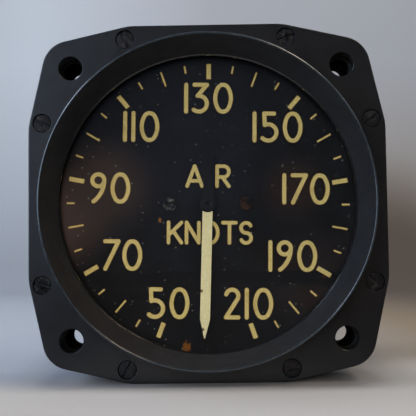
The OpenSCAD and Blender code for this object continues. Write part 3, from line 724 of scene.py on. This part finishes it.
# Paint thins at its edges and has browned there, and the darker edge colour is also painted shade round the
# raised strokes, so strokes have a darker outline
LUME_EDGE = LumePaint("browned_and_shaded_paint_edge", body="#8f6f39", pale="#ab8b4e", brown="#5e4624")
POINTER_LUME = LumePaint("pale_pointer_paint", body="#d6cba0", pale="#e3dab6", brown="#c2ae80", flecks=(
    fleck(-1.75, -20.7, 0.75, "#5a3f24", 0.95),
    fleck(-1.55, -29.75, 0.75, "#5a3f24", 0.95),
))
POINTER_BLACK = DialPaint("matt_black_pointer_enamel", body="#131417", worn="#1a1a1d")
SCREW_BLACK = BlackenedSteel("blackened_screw_steel")
# A screwdriver has rubbed this one bright in places, and the pale rubbed colour also stands for painted
# glints on its slot's edges
RUBBED_SCREW = BlackenedSteel(
    "rubbed_screw_steel_with_painted_glints", rubbed="#7c7b77", wear=Grain(0.8, 5.0, 0.48, 0.7), rust_share=0.0,
)
RUSTY_SCREW = BlackenedSteel(
    "rust_tinted_screw_steel", rusting=Grain(2.4, 4.0, 0.42, 0.54), rust_share=0.42,
)
HUB_BLACK = BlackenedSteel("blackened_hub_brass", body="#1a1a1d", rubbed="#353539", rust_share=0.0)
# The spindle's end shows in the middle of the hub; the spindle is painted near black, as painted shade for
# the dark hole there
SPINDLE_BLACK = BlackenedSteel("shaded_spindle_steel", body="#060606", rubbed="#0c0c0c", rust_share=0.0)
GLASS = WindowGlass("clear_soda_lime_glass")
BRASS = WorkedMetal("machined_brass")
BRONZE = WorkedMetal("formed_phosphor_bronze", body="#a9783f", tarnish="#74502a", smooth=0.3, rough=0.45)
STEEL = WorkedMetal("turned_steel", body="#9b9da0", tarnish="#6f7072")
SPRING_STEEL = WorkedMetal("blued_spring_steel", body="#33486f", tarnish="#27304a", smooth=0.18, rough=0.3)
FIBRE = PressedFibre("red_vulcanised_fibre")
RUBBER = PressedFibre("black_seal_rubber", body="#131314", thread="#1d1d1e", rough=0.85)
PAPER = StudioPaper("pale_studio_paper")

# Finishes of the CAD nodes that show as they are
NODE_FINISHES: dict[Finish, tuple[str, ...]] = {
    GLASS: ("window_glass",),
    RUBBER: ("case_gasket", "glass_seal"),
    DIAL_PAINT: ("dial",),
    SPINDLE_BLACK: ("handstaff",),
    STEEL: (
        "sector_arbor", "sector_crank", "rocking_shaft", "pillar_screws", "frame_screws",
        "bracket_screws",
    ),
    BRASS: (
        "hairspring_collet", "hairspring_stud", "front_plate", "rear_plate", "plate_pillars", "staff_bushes",
        "sector_bushes", "sector_gear", "balance_weight", "drive_arm", "capsule_arm", "rocker_brackets",
        "capsule_push_pin", "capsule_stem", "union_nuts",
    ),
    BRONZE: ("capsule",),
    SPRING_STEEL: ("hairspring",),
    FIBRE: ("union_washers",),
}


def pick(piece: Piece) -> None:
    """Make a piece the only selected and active object.

    Args:
        piece: the object that is worked on next.
    """
    bpy.ops.object.select_all(action="DESELECT")
    piece.select_set(True)
    bpy.context.view_layer.objects.active = piece


def edit(element: Element, every: bool) -> None:
    """Go to edit mode with all or none of the active object selected.

    Args:
        element: what is selected from then on.
        every: whether everything is selected, or nothing.
    """
    bpy.ops.object.mode_set(mode="EDIT")
    bpy.ops.mesh.select_mode(type=element.value)
    bpy.ops.mesh.select_all(action="SELECT" if every else "DESELECT")


def pick_faces(piece: Piece, wanted: Callable[[Face], bool]) -> None:
    """Go to edit mode with only the wanted faces selected.

    Args:
        piece: the object that is edited.
        wanted: tells whether a face is selected.
    """
    if piece.mode == "EDIT":
        bpy.ops.object.mode_set(mode="OBJECT")
    edit(Element.FACE, every=False)
    bpy.ops.object.mode_set(mode="OBJECT")
    for face in piece.data.polygons:
        face.select = wanted(face)
    bpy.ops.object.mode_set(mode="EDIT")


def smooth(piece: Piece) -> None:
    """Shade a piece smooth, with flat faces kept flat up to their rounded edges.

    Args:
        piece: the finished mesh.
    """
    pick(piece)
    bpy.ops.object.shade_smooth_by_angle(angle=SHARP)
    even = piece.modifiers.new("even_faces", "WEIGHTED_NORMAL")
    even.keep_sharp = True
    bpy.ops.object.modifier_apply(modifier=even.name)


def linked(name: str, data: bpy.types.ID) -> Piece:
    """Put a mesh, a lamp or a camera in the scene.

    Args:
        name: name of the new object.
        data: what it shows.

    Returns:
        The object, at the origin.
    """
    made = bpy.data.objects.new(name, data)
    bpy.context.scene.collection.objects.link(made)
    return made


def merged_copy(node: str, name: str) -> Piece:
    """Copy a CAD node's mesh into a new piece and merge its triangles into faces.

    Args:
        node: name of the CAD node.
        name: name of the new piece.

    Returns:
        The piece, with the node's shape.
    """
    piece = linked(name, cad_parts[node].data.copy())
    piece.data.materials.clear()
    pick(piece)
    edit(Element.EDGE, every=True)
    bpy.ops.mesh.customdata_custom_splitnormals_clear()
    bpy.ops.mesh.remove_doubles(threshold=MERGE)
    bpy.ops.mesh.dissolve_limited(angle_limit=FLAT)
    bpy.ops.object.mode_set(mode="OBJECT")
    return piece


def round_edges(
    piece: Piece, share: Callable[[Vector], float], width: float, segments: int = 2, slot: int = -1
) -> None:
    """Round the sharp edges of a piece.

    Args:
        piece: the piece, with its mesh in place.
        share: share of the full width at an edge's middle, 0 where the edge stays sharp.
        width: full width of the rounding.
        segments: facets of the rounding.
        slot: material slot of the rounding, or -1 for that of the faces beside it.
    """
    pick(piece)
    edit(Element.EDGE, every=False)
    bpy.ops.mesh.edges_select_sharp(sharpness=SHARP)
    bpy.ops.object.mode_set(mode="OBJECT")
    mesh = piece.data
    weights = mesh.attributes.new("bevel_weight_edge", "FLOAT", "EDGE")
    for edge in mesh.edges:
        if edge.select:
            ends = [mesh.vertices[i].co for i in edge.vertices]
            weights.data[edge.index].value = share((ends[0] + ends[1]) / 2)
    rounding = piece.modifiers.new("rounding", "BEVEL")
    rounding.limit_method = "WEIGHT"
    rounding.width = width
    rounding.segments = segments
    rounding.material = slot
    rounding.use_clamp_overlap = False
    bpy.ops.object.modifier_apply(modifier=rounding.name)


def rounded(corners: Sequence[Triple], steps: int = 4) -> list[Vector]:
    """Round the corners of a closed profile.

    Args:
        corners: radius, y and rounding of each corner, in order.
        steps: facets of each rounding.

    Returns:
        Radius and y of the profile's points.
    """
    points = []
    for i, (r, y, rounding) in enumerate(corners):
        here = Vector((r, y))
        if not rounding:
            points.append(here)
            continue
        before = (Vector(corners[i - 1][:2]) - here).normalized()
        after = (Vector(corners[(i + 1) % len(corners)][:2]) - here).normalized()
        half = before.angle(after) / 2
        centre = here + (before + after).normalized() * rounding / math.sin(half)
        start = here + before * rounding / math.tan(half) - centre
        end = here + after * rounding / math.tan(half) - centre
        turn = -start.angle_signed(end)
        points.extend(centre + Matrix.Rotation(turn * k / steps, 2) @ start for k in range(steps + 1))
    return points


def spun(name: str, profile: Sequence[Vector], steps: int = 240) -> Piece:
    """Turn a closed profile about the instrument's axis.

    Args:
        name: name of the new object.
        profile: radius and y of the profile's points, in order.
        steps: facets of the full turn.

    Returns:
        The turned object.
    """
    bpy.ops.object.select_all(action="DESELECT")
    bpy.ops.mesh.primitive_plane_add(size=MM)
    piece = bpy.context.active_object
    piece.name = name
    edit(Element.CORNER, every=True)
    bpy.ops.mesh.merge(type="CENTER")
    bpy.ops.transform.translate(value=(*profile[0], 0))
    for here, there in zip(profile, [*profile[1:], profile[0]]):
        bpy.ops.mesh.extrude_region_move(TRANSFORM_OT_translate={"value": (*(there - here), 0)})
    bpy.ops.mesh.select_all(action="SELECT")
    bpy.ops.mesh.spin(steps=steps, angle=2 * math.pi, center=(0, 0, 0), axis=(0, 1, 0))
    bpy.ops.mesh.select_all(action="SELECT")
    bpy.ops.mesh.remove_doubles(threshold=MERGE)
    bpy.ops.mesh.normals_make_consistent(inside=False)
    bpy.ops.object.mode_set(mode="OBJECT")
    return piece


def joined(parts: Sequence[Piece], name: str) -> Piece:
    """Join objects into one piece.

    Args:
        parts: the objects, in place.
        name: name of the joined piece.

    Returns:
        The joined piece.
    """
    pick(parts[0])
    for part in parts:
        part.select_set(True)
    bpy.ops.object.join()
    parts[0].name = name
    parts[0].data.name = name
    return parts[0]


def coat(piece: Piece, *finishes: Finish) -> None:
    """Give a piece a material for each finish, in order."""
    for finish in finishes:
        piece.data.materials.append(finish.material())


def tie(piece: Piece, body: Body, slot: Slot, *nodes: str) -> Piece:
    """Tie a piece to the frame.

    Args:
        piece: the finished piece, in place.
        body: the body that carries it.
        slot: the record's slot of its finish; not used.
        nodes: the CAD nodes that it stands for.

    Returns:
        The piece.
    """
    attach(piece, body.value)
    if nodes:
        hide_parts(*nodes)
    return piece


def soft_edged(node: str, name: str, width: float, finish: Finish, slot: Slot, body: Body) -> Piece:
    """Model a CAD node again with all its edges rounded.

    Args:
        node: name of the CAD node.
        name: name of the new piece.
        width: width of the rounding.
        finish: its finish all over.
        slot: the record's slot that it takes its finish from.
        body: the body that carries it.

    Returns:
        The piece.
    """
    piece = merged_copy(node, name)
    round_edges(piece, lambda point: 1.0, width)
    smooth(piece)
    coat(piece, finish)
    return tie(piece, body, slot, node)


def from_axis(point: Vector) -> float:
    """Return a point's distance from the instrument's axis."""
    return math.hypot(point.x, point.z)


@dataclass
class MountingHoles:
    """The four holes for the panel's bolts."""

    radius: float = 2.75 * MM
    place: float = 88.9 / 2 * math.sqrt(0.5) * MM
    # Faces this near a hole and as steep as this are its wall
    wall_margin: float = 0.15 * MM
    wall_tilt: float = 0.5
    pitch: float = 0.9 * MM
    turns: int = 14
    thread_depth: float = 0.5 * MM
    # How far in the thread starts, how far its roots stay off the wall and how far its ends go into it
    thread_start: float = 0.3 * MM
    thread_root: float = 0.02 * MM
    thread_end: float = 0.05 * MM
    thread_steps: int = 40

    def near(self, point: Vector, margin: float) -> bool:
        """Tell whether a point lies within a margin round one of the holes."""
        return math.hypot(abs(point.x) - self.place, abs(point.z) - self.place) < self.radius + margin

    def threads(self) -> Piece:
        """Model the worn thread inside the case's holes.

        Returns:
            The four threads as one piece.
        """
        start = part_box("case")[0].y + self.thread_start
        profile = [Vector((self.radius + self.thread_end, start))]
        for i in range(self.turns):
            middle = start + (i + 0.5) * self.pitch
            profile.append(Vector((self.radius - self.thread_depth, middle)))
            profile.append(Vector((self.radius - self.thread_root, middle + self.pitch / 2)))
        profile.append(Vector((self.radius + self.thread_end, start + self.turns * self.pitch)))
        first = spun("hole_thread", profile, self.thread_steps)
        bpy.ops.object.shade_smooth()
        made = [first]
        for right, up in ((-1, 1), (1, 1), (-1, -1)):
            thread = linked("hole_thread", first.data.copy())
            thread.data.transform(Matrix.Translation((right * self.place, 0, up * self.place)))
            made.append(thread)
        first.data.transform(Matrix.Translation((self.place, 0, -self.place)))
        piece = joined(made, "mounting_threads")
        coat(piece, BORE)
        return tie(piece, Body.HOUSING, Slot.BAKELITE)

    def line(self, piece: Piece) -> None:
        """Give the holes' walls in a piece the finish of a bore.

        Args:
            piece: a moulding with the holes in it.
        """
        for face in piece.data.polygons:
            if abs(face.normal.y) < self.wall_tilt and self.near(face.center, self.wall_margin):
                face.material_index = Skin.BORE


@dataclass
class Bezel:
    """The moulded front plate with its ring."""

    holes: MountingHoles
    screw_places: Sequence[Pair]
    rim_round: float = 0.35 * MM
    rim_facets: int = 3
    hole_round: float = 0.2 * MM
    hole_margin: float = 0.6 * MM
    recess_round: float = 0.12 * MM
    recess_r: float = 2.6 * MM
    # The moulding has closed in round the heads
    recess_share: float = 0.9
    plate: float = 4 * MM
    ring_r: float = 38.1 * MM
    ring_h: float = 6 * MM
    ring_nose: float = 0.32 * MM
    ring_foot: float = 0.25 * MM
    # The foot runs out under the plate's face by these two depths
    foot_edge: float = 0.02 * MM
    foot_sink: float = 0.03 * MM
    funnel_r: float = 37.6 * MM
    funnel_round: float = 0.2 * MM
    sight_r: float = 34.85 * MM
    sight_bevel: float = 0.32 * MM
    sight_land: float = 0.45 * MM
    sight_round: float = 0.08 * MM
    # The ring's back stays this far before the plate's
    back_gap: float = 0.02 * MM
    # Room left when the ring's faces and edges are told apart by their place
    face_margin: float = 0.02 * MM
    edge_margin: float = 0.05 * MM
    finishes: tuple[Finish, ...] = (BAKELITE, BAKELITE_EDGE, BORE, BAKELITE_BEVEL, BAKELITE_FUNNEL)

    def on_ring(self, face: Face, mesh: bpy.types.Mesh) -> bool:
        """Tell whether a face belongs to the ring or its opening.

        Args:
            face: a face of the bezel.
            mesh: the bezel's mesh.

        Returns:
            True for a face of the ring.
        """
        points = [mesh.vertices[i].co for i in face.vertices]
        inside = all(from_axis(point) < self.ring_r + self.face_margin for point in points)
        return inside and min(point.y for point in points) < self.plate - self.edge_margin

    def rounding(self, point: Vector) -> float:
        """Choose the rounding of an edge.

        Args:
            point: the edge's middle.

        Returns:
            Its rounding as a share of the rim's.
        """
        if from_axis(point) < self.ring_r + self.edge_margin:
            return 0.0
        if self.holes.near(point, self.hole_margin):
            return self.hole_round / self.rim_round
        if any(math.hypot(point.x - x, point.z - z) < self.recess_r for x, z in self.screw_places):
            return self.recess_round / self.rim_round
        return 1.0

    def close_recess(self, plate: Piece, x: float, z: float) -> None:
        """Draw the recess of a screw in round its head.

        Args:
            plate: the bezel's plate.
            x: the screw's place to the right.
            z: the screw's place upwards.
        """
        def inside(face: Face) -> bool:
            """Tell whether a face lies in the recess."""
            points = [plate.data.vertices[i].co for i in face.vertices]
            return all(math.hypot(point.x - x, point.z - z) < self.recess_r for point in points)

        pick_faces(plate, inside)
        bpy.ops.transform.resize(
            value=(self.recess_share, 1, self.recess_share), center_override=(x, 0, z)
        )

    def profile(self) -> list[Vector]:
        """Draw the ring's profile, closed inside the plate.

        Returns:
            Radius and y of its points.
        """
        back = self.plate - self.back_gap
        root = self.ring_r + 2 * self.ring_foot
        land = self.plate - self.sight_land
        return rounded([
            (root, back, 0),
            (root, self.foot_sink, 0),
            (self.ring_r + self.ring_foot, self.foot_edge, 0),
            (self.ring_r, 0, self.ring_foot),
            (self.ring_r, -self.ring_h, self.ring_nose),
            (self.funnel_r, -self.ring_h, self.funnel_round),
            (self.sight_r + self.sight_bevel, land - self.sight_bevel, self.sight_round),
            (self.sight_r, land, self.sight_round),
            (self.sight_r, back, 0),
        ])

    def ring(self) -> Piece:
        """Turn the ring and give its faces their finishes.

        Returns:
            The ring.
        """
        ring = spun("bezel_ring", self.profile())
        coat(ring, *self.finishes)
        for face in ring.data.polygons:
            if face.center.y < self.ring_nose - self.ring_h:
                face.material_index = Skin.EDGE
            elif from_axis(face.center) < self.sight_r + self.sight_bevel:
                face.material_index = Skin.BEVEL
            elif from_axis(face.center) < self.funnel_r:
                face.material_index = Skin.FUNNEL
        return ring

    def build(self) -> Piece:
        """Model the bezel with its ring and rounded edges.

        Returns:
            The bezel as one piece.
        """
        plate = merged_copy("bezel", "bezel_plate")
        coat(plate, *self.finishes)
        pick_faces(plate, lambda face: self.on_ring(face, plate.data))
        bpy.ops.mesh.delete(type="FACE")
        for x, z in self.screw_places:
            self.close_recess(plate, x, z)
        bpy.ops.object.mode_set(mode="OBJECT")
        round_edges(plate, self.rounding, self.rim_round, self.rim_facets)
        self.holes.line(plate)
        piece = joined([plate, self.ring()], "bezel_moulding")
        smooth(piece)
        return tie(piece, Body.HOUSING, Slot.BAKELITE, "bezel")


@dataclass
class Case:
    """The moulded case behind the bezel."""

    holes: MountingHoles
    edge_round: float = 0.2 * MM

    def build(self) -> Piece:
        """Model the case with its rounded edges.

        Returns:
            The case.
        """
        piece = merged_copy("case", "case_moulding")
        coat(piece, BAKELITE, BAKELITE_EDGE, BORE)
        round_edges(piece, lambda point: 1.0, self.edge_round)
        self.holes.line(piece)
        smooth(piece)
        return tie(piece, Body.HOUSING, Slot.BAKELITE, "case")


@dataclass
class SlottedScrew:
    """A slotted screw, modelled upright with the underside of its head at the origin."""

    head_r: float
    head_h: float
    shank_r: float
    length: float
    slot_w: float
    slot_depth: float
    dome: float
    edge: float
    sides: int = 48
    # The dome rises in steps, each of a share of its height and drawn in by a share of the radius
    dome_steps: Pair = (0.75, 0.25)
    dome_inset: float = 0.4
    # Shares of the head's height above which its edges are rounded and its faces are chewed
    round_from: float = 0.2
    chew_from: float = 0.3

    def model(self, name: str, turn: float, place: Vector, chewed: float, seed: int) -> Piece:
        """Model one screw that points along +Y.

        Args:
            name: name of the new object.
            turn: angle of its slot about Y, in radians.
            place: middle of the underside of its head.
            chewed: how far a slipping screwdriver has moved the metal.
            seed: number that sets how it is chewed.

        Returns:
            The screw, in place.
        """
        bpy.ops.object.select_all(action="DESELECT")
        bpy.ops.mesh.primitive_cylinder_add(
            vertices=self.sides, radius=self.head_r, depth=self.head_h, location=(0, 0, self.head_h / 2)
        )
        screw = bpy.context.active_object
        screw.name = name
        bpy.ops.object.transform_apply(location=True, rotation=True, scale=True)
        pick_faces(screw, lambda face: face.normal.z > FACING)
        for share in self.dome_steps:
            bpy.ops.mesh.inset(thickness=self.dome_inset * self.head_r)
            bpy.ops.transform.translate(value=(0, 0, share * self.dome))
        pick_faces(screw, lambda face: face.normal.z < -FACING)
        bpy.ops.mesh.inset(thickness=self.head_r - self.shank_r)
        bpy.ops.mesh.extrude_region_move(TRANSFORM_OT_translate={"value": (0, 0, -self.length)})
        bpy.ops.object.mode_set(mode="OBJECT")
        self.cut_slot(screw)
        low = self.round_from * self.head_h
        round_edges(screw, lambda point: 1.0 if point.z > low else 0.0, self.edge)
        pick_faces(screw, lambda face: face.center.z > self.chew_from * self.head_h)
        bpy.ops.mesh.subdivide(number_cuts=1)
        bpy.ops.transform.vertex_random(offset=chewed, uniform=1.0, seed=seed)
        bpy.ops.object.mode_set(mode="OBJECT")
        turned = Matrix.Rotation(turn, 4, "Y") @ Matrix.Rotation(math.pi / 2, 4, "X")
        screw.data.transform(Matrix.Translation(place) @ turned)
        return screw

    def cut_slot(self, screw: Piece) -> None:
        """Cut the slot across the head with a block.

        Args:
            screw: the screw, upright.
        """
        bpy.ops.object.select_all(action="DESELECT")
        bpy.ops.mesh.primitive_cube_add(size=1, location=(0, 0, self.head_h + self.dome))
        block = bpy.context.active_object
        block.scale = (4 * self.head_r, self.slot_w, 2 * self.slot_depth)
        bpy.ops.object.transform_apply(location=True, rotation=True, scale=True)
        pick(screw)
        cut = screw.modifiers.new("slot", "BOOLEAN")
        cut.operation = "DIFFERENCE"
        cut.solver = "EXACT"
        cut.object = block
        bpy.ops.object.modifier_apply(modifier=cut.name)
        bpy.data.objects.remove(block)


@dataclass
class BezelScrews:
    """The eight screws round the bezel, two beside each mounting hole."""

    side_off: float = 18.7 * MM
    head_r: float = 2.1 * MM
    # The heads are worn a little smaller than new ones
    wear: float = 0.05 * MM
    dome: float = 0.12 * MM
    edge: float = 0.1 * MM
    shank_r: float = 1.1 * MM
    slot_w: float = 0.65 * MM
    slot_depth: float = 0.5 * MM
    seat_y: float = 1.25 * MM
    slots: tuple[float, ...] = (-64, -30, 20, 35, 61, -15, 10, -45)
    corners: tuple[tuple[int, int], ...] = ((-1, 1), (1, 1), (-1, -1), (1, -1))
    # The screws that a slipping screwdriver has spoiled, and how far the metal of those and others moved
    spoiled: tuple[int, ...] = (2, 5)
    chew: float = 0.09 * MM
    scuff: float = 0.02 * MM

    def places(self) -> list[Pair]:
        """Work out where the screws are.

        Returns:
            Their x and z.
        """
        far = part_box("bezel_screws")[1].x - self.head_r
        spots = []
        for right, up in self.corners:
            spots.append((right * self.side_off, up * far))
            spots.append((right * far, up * self.side_off))
        return spots

    def build(self) -> Piece:
        """Model the screws.

        Returns:
            The eight screws as one piece.
        """
        low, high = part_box("bezel_screws")
        kind = SlottedScrew(
            self.head_r - self.wear, self.seat_y - low.y - self.dome, self.shank_r, high.y - self.seat_y,
            self.slot_w, self.slot_depth, self.dome, self.edge,
        )
        made = []
        for i, (x, z) in enumerate(self.places()):
            chewed = self.chew if i in self.spoiled else self.scuff
            place = Vector((x, self.seat_y, z))
            made.append(kind.model(f"bezel_screw_{i + 1}", -math.radians(self.slots[i]), place, chewed, i))
        piece = joined(made, "bezel_screw_set")
        smooth(piece)
        coat(piece, SCREW_BLACK)
        return tie(piece, Body.HOUSING, Slot.SCREW, "bezel_screws")


@dataclass
class Dial:
    """The dial's raised markings and its two screws."""

    mark_round: float = 0.11 * MM
    screw_r: float = 1.6 * MM
    screw_dome: float = 0.1 * MM
    screw_edge: float = 0.08 * MM
    screw_scuff: float = 0.015 * MM
    shank_r: float = 0.9 * MM
    slot_w: float = 0.5 * MM
    slot_depth: float = 0.35 * MM
    # Side, slot and finish of each screw
    screw_kinds: tuple[tuple[int, float, Finish], ...] = ((-1, -35, RUBBED_SCREW), (1, 35, RUSTY_SCREW))

    def markings(self) -> Piece:
        """Model the raised markings with soft edges.

        Returns:
            All markings as one piece.
        """
        piece = merged_copy("dial_markings", "raised_markings")
        front, back = (corner.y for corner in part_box("dial_markings"))
        middle = front + (back - front) / 2
        coat(piece, LUME, LUME_EDGE)
        round_edges(
            piece, lambda point: 1.0 if point.y < middle else 0.0, self.mark_round, slot=Skin.EDGE
        )
        smooth(piece)
        return tie(piece, Body.HOUSING, Slot.CREAM, "dial_markings")

    def screws(self) -> Piece:
        """Model the dial's two screws.

        Returns:
            Both screws as one piece.
        """
        low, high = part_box("dial_screws")
        seat_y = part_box("dial")[0].y
        out = high.x - self.screw_r
        kind = SlottedScrew(
            self.screw_r, seat_y - low.y - self.screw_dome, self.shank_r, high.y - seat_y,
            self.slot_w, self.slot_depth, self.screw_dome, self.screw_edge,
        )
        made = []
        for i, (side, turn, finish) in enumerate(self.screw_kinds):
            place = Vector((side * out, seat_y, 0))
            screw = kind.model(f"dial_screw_{i + 1}", math.radians(turn), place, self.screw_scuff, i)
            coat(screw, finish)
            made.append(screw)
        piece = joined(made, "dial_screw_pair")
        smooth(piece)
        return tie(piece, Body.HOUSING, Slot.SCREW, "dial_screws")


@dataclass
class Pointer:
    """The pointer with its paint and its bush."""

    blade_round: float = 0.05 * MM
    paint_round: float = 0.05 * MM
    bush_round: float = 0.15 * MM

    def build(self) -> list[Piece]:
        """Model the pointer's pieces with soft edges.

        Returns:
            The blade, its paint and its hub.
        """
        rows = (
            ("pointer", "pointer_blade", self.blade_round, POINTER_BLACK, Slot.POINTER_BLACK),
            ("pointer_lume", "pointer_paint", self.paint_round, POINTER_LUME, Slot.POINTER_CREAM),
            ("pointer_bush", "pointer_hub", self.bush_round, HUB_BLACK, Slot.POINTER_BLACK),
        )
        return [soft_edged(*row, Body.POINTER) for row in rows]


@dataclass
class PressureUnions:
    """The two turned unions on the back of the case."""

    edge_round: float = 0.25 * MM

    def build(self) -> list[Piece]:
        """Model the unions with broken edges.

        Returns:
            Both unions.
        """
        names = (("pitot_union", "pitot_connector"), ("static_union", "static_connector"))
        return [soft_edged(*pair, self.edge_round, BRASS, Slot.BRASS, Body.HOUSING) for pair in names]


@dataclass(frozen=True)
class Lamp:
    """A soft rectangular lamp that faces the object."""

    name: str
    place: Triple
    width: float
    height: float
    watts: float
    colour: str
    aim: Triple = (0.0, 0.0, 0.0)
    mirrored: bool = True

    def build(self) -> Piece:
        """Set the lamp up.

        Returns:
            The lamp.
        """
        data = bpy.data.lights.new(self.name, "AREA")
        data.shape = "RECTANGLE"
        data.size = self.width
        data.size_y = self.height
        data.energy = self.watts
        data.color = linear(self.colour)[:3]
        lamp = linked(self.name, data)
        lamp.location = self.place
        lamp.visible_glossy = self.mirrored
        lamp.visible_transmission = self.mirrored
        lamp.rotation_euler = (Vector(self.aim) - lamp.location).to_track_quat("-Z", "Y").to_euler()
        return lamp


@dataclass
class Studio:
    """Paper floor, soft lamps and the camera of the photograph."""

    paper_front: float = 1.2
    paper_back: float = 0.45
    paper_bend: float = 0.25
    paper_top: float = 1.2
    paper_half: float = 1.6
    bend_steps: int = 16
    camera_place: Triple = (2.37 * MM, -186.64 * MM, -12.18 * MM)
    camera_yaw: float = math.radians(-0.692)
    camera_pitch: float = math.radians(3.286)
    camera_roll: float = math.radians(-0.748)
    focal_px: float = 814.9
    image_px: float = 416.0
    sensor: float = 36.0
    lamps: tuple[Lamp, ...] = (
        Lamp("window_lamp", (-0.44, -0.46, 0.2), 0.45, 0.45, 1.75, "#c9deff"),
        Lamp("front_card", (-0.06, -0.62, 0.06), 0.3, 0.3, 3.9, "#fff8ec", mirrored=False),
        Lamp("top_lamp", (0.0, 0.02, 0.68), 0.3, 0.08, 5.5, "#fbf8f4", mirrored=False),
        Lamp("side_lamp", (-0.55, 0.16, 0.22), 0.3, 0.3, 5.5, "#e6eeff", mirrored=False),
        Lamp("wall_lamp", (-0.05, 0.2, 0.68), 0.3, 0.3, 2.6, "#f8f8fb", (-0.05, 0.9, 0.3), mirrored=False),
        Lamp("warm_lamp", (0.28, -0.17, 0.5), 0.24, 0.14, 1.2, "#ffe2c2"),
        Lamp("sheen_lamp", (0.42, 0.36, 0.55), 0.6, 0.5, 2.2, "#f4f4f6"),
        Lamp("cool_lamp", (-0.42, -0.13, 0.36), 0.14, 0.14, 0.6, "#cfe4ff"),
    )
    room: str = "#3d4045"
    seen: str = "#aeb5c0"
    glimpses: tuple[SoftPatch, ...] = (
        glimpse((0.0, -1.0, 0.0), 0.55, "#1b1b1c"),
        glimpse((-0.05, -0.99, 0.14), 0.19, "#3e4354"),
        glimpse((-0.19, -0.98, 0.045), 0.075, "#b08c80"),
        glimpse((-0.135, -0.987, 0.085), 0.07, "#94796d"),
        glimpse((0.092, -0.993, 0.08), 0.05, "#6a4d3d"),
        glimpse((0.118, -0.992, -0.05), 0.1, "#5c4438"),
    )

    def paper(self) -> Piece:
        """Roll out a sheet of paper that bends up behind the object.

        Returns:
            The sheet.
        """
        floor_z = CAD_BOX[0].z
        bpy.ops.object.select_all(action="DESELECT")
        bpy.ops.mesh.primitive_plane_add(size=1, location=(0, 0, floor_z))
        sheet = bpy.context.active_object
        sheet.name = "paper_floor"
        sheet.scale = (2 * self.paper_half, self.paper_front + self.paper_back, 1)
        sheet.location.y = (self.paper_back - self.paper_front) / 2
        bpy.ops.object.transform_apply(location=True, rotation=True, scale=True)
        edit(Element.EDGE, every=False)
        bpy.ops.object.mode_set(mode="OBJECT")
        for edge in sheet.data.edges:
            edge.select = all(sheet.data.vertices[i].co.y > self.paper_back - MM for i in edge.vertices)
        bpy.ops.object.mode_set(mode="EDIT")
        bpy.ops.mesh.spin(
            steps=self.bend_steps, angle=math.pi / 2, axis=(-1, 0, 0),
            center=(0, self.paper_back, floor_z + self.paper_bend),
        )
        bpy.ops.mesh.extrude_region_move(TRANSFORM_OT_translate={"value": (0, 0, self.paper_top)})
        bpy.ops.mesh.select_all(action="SELECT")
        bpy.ops.mesh.remove_doubles(threshold=MERGE)
        bpy.ops.object.mode_set(mode="OBJECT")
        bpy.ops.object.shade_smooth()
        coat(sheet, PAPER)
        return sheet

    def world(self) -> None:
        """Set up a dim room with a few brown things behind the camera."""
        world = bpy.data.worlds.new("dim_room")
        bpy.context.scene.world = world
        world.use_nodes = True
        tree = world.node_tree
        tree.nodes.clear()
        way = add(tree, "TexCoord").outputs["Generated"]
        room = linear(self.room)
        for patch in self.glimpses:
            room = patch.over(tree, way, room)
        path = add(tree, "LightPath")
        shown = add(tree, "Mix", {
            0: path.outputs["Is Camera Ray"], 6: room, 7: linear(self.seen),
        }, data_type="RGBA")
        glow = add(tree, "Background", {"Color": shown.outputs[2], "Strength": 1.0})
        add(tree, "OutputWorld", {"Surface": glow.outputs[0]})

    def camera(self) -> Piece:
        """Set up the camera where the photograph was taken from.

        Returns:
            The camera.
        """
        data = bpy.data.cameras.new("photo_camera")
        data.sensor_width = self.sensor
        data.lens = self.focal_px / self.image_px * self.sensor
        data.clip_start = MM
        camera = linked("photo_camera", data)
        camera.matrix_world = (
            Matrix.Translation(self.camera_place)
            @ Matrix.Rotation(-self.camera_yaw, 4, "Z")
            @ Matrix.Rotation(math.pi / 2 + self.camera_pitch, 4, "X")
            @ Matrix.Rotation(self.camera_roll, 4, "Z")
        )
        bpy.context.scene.camera = camera
        return camera

    def build(self) -> None:
        """Set up the paper, the lamps, the room and the camera."""
        self.paper()
        for lamp in self.lamps:
            lamp.build()
        self.world()
        self.camera()
        bpy.context.scene.view_settings.view_transform = "Standard"


def dress_nodes() -> None:
    """Put their finishes on the CAD nodes that show as they are."""
    for finish, names in NODE_FINISHES.items():
        for name in names:
            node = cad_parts[name]
            node.data.materials.clear()
            coat(node, finish)


def note(pieces: Sequence[Piece]) -> None:
    """Log pieces as they are made."""
    for piece in pieces:
        LOG.info("%s: %d faces", piece.name, len(piece.data.polygons))


def main() -> None:
    """Build the scene piece by piece."""
    logging.basicConfig(level=logging.INFO, format="%(name)s: %(message)s")
    Studio().build()
    dress_nodes()
    holes = MountingHoles()
    screws = BezelScrews()
    note([Bezel(holes, screws.places()).build(), Case(holes).build(), holes.threads(), screws.build()])
    dial = Dial()
    note([dial.markings(), dial.screws()])
    note(Pointer().build())
    note(PressureUnions().build())


if __name__ == "__main__":
    main()
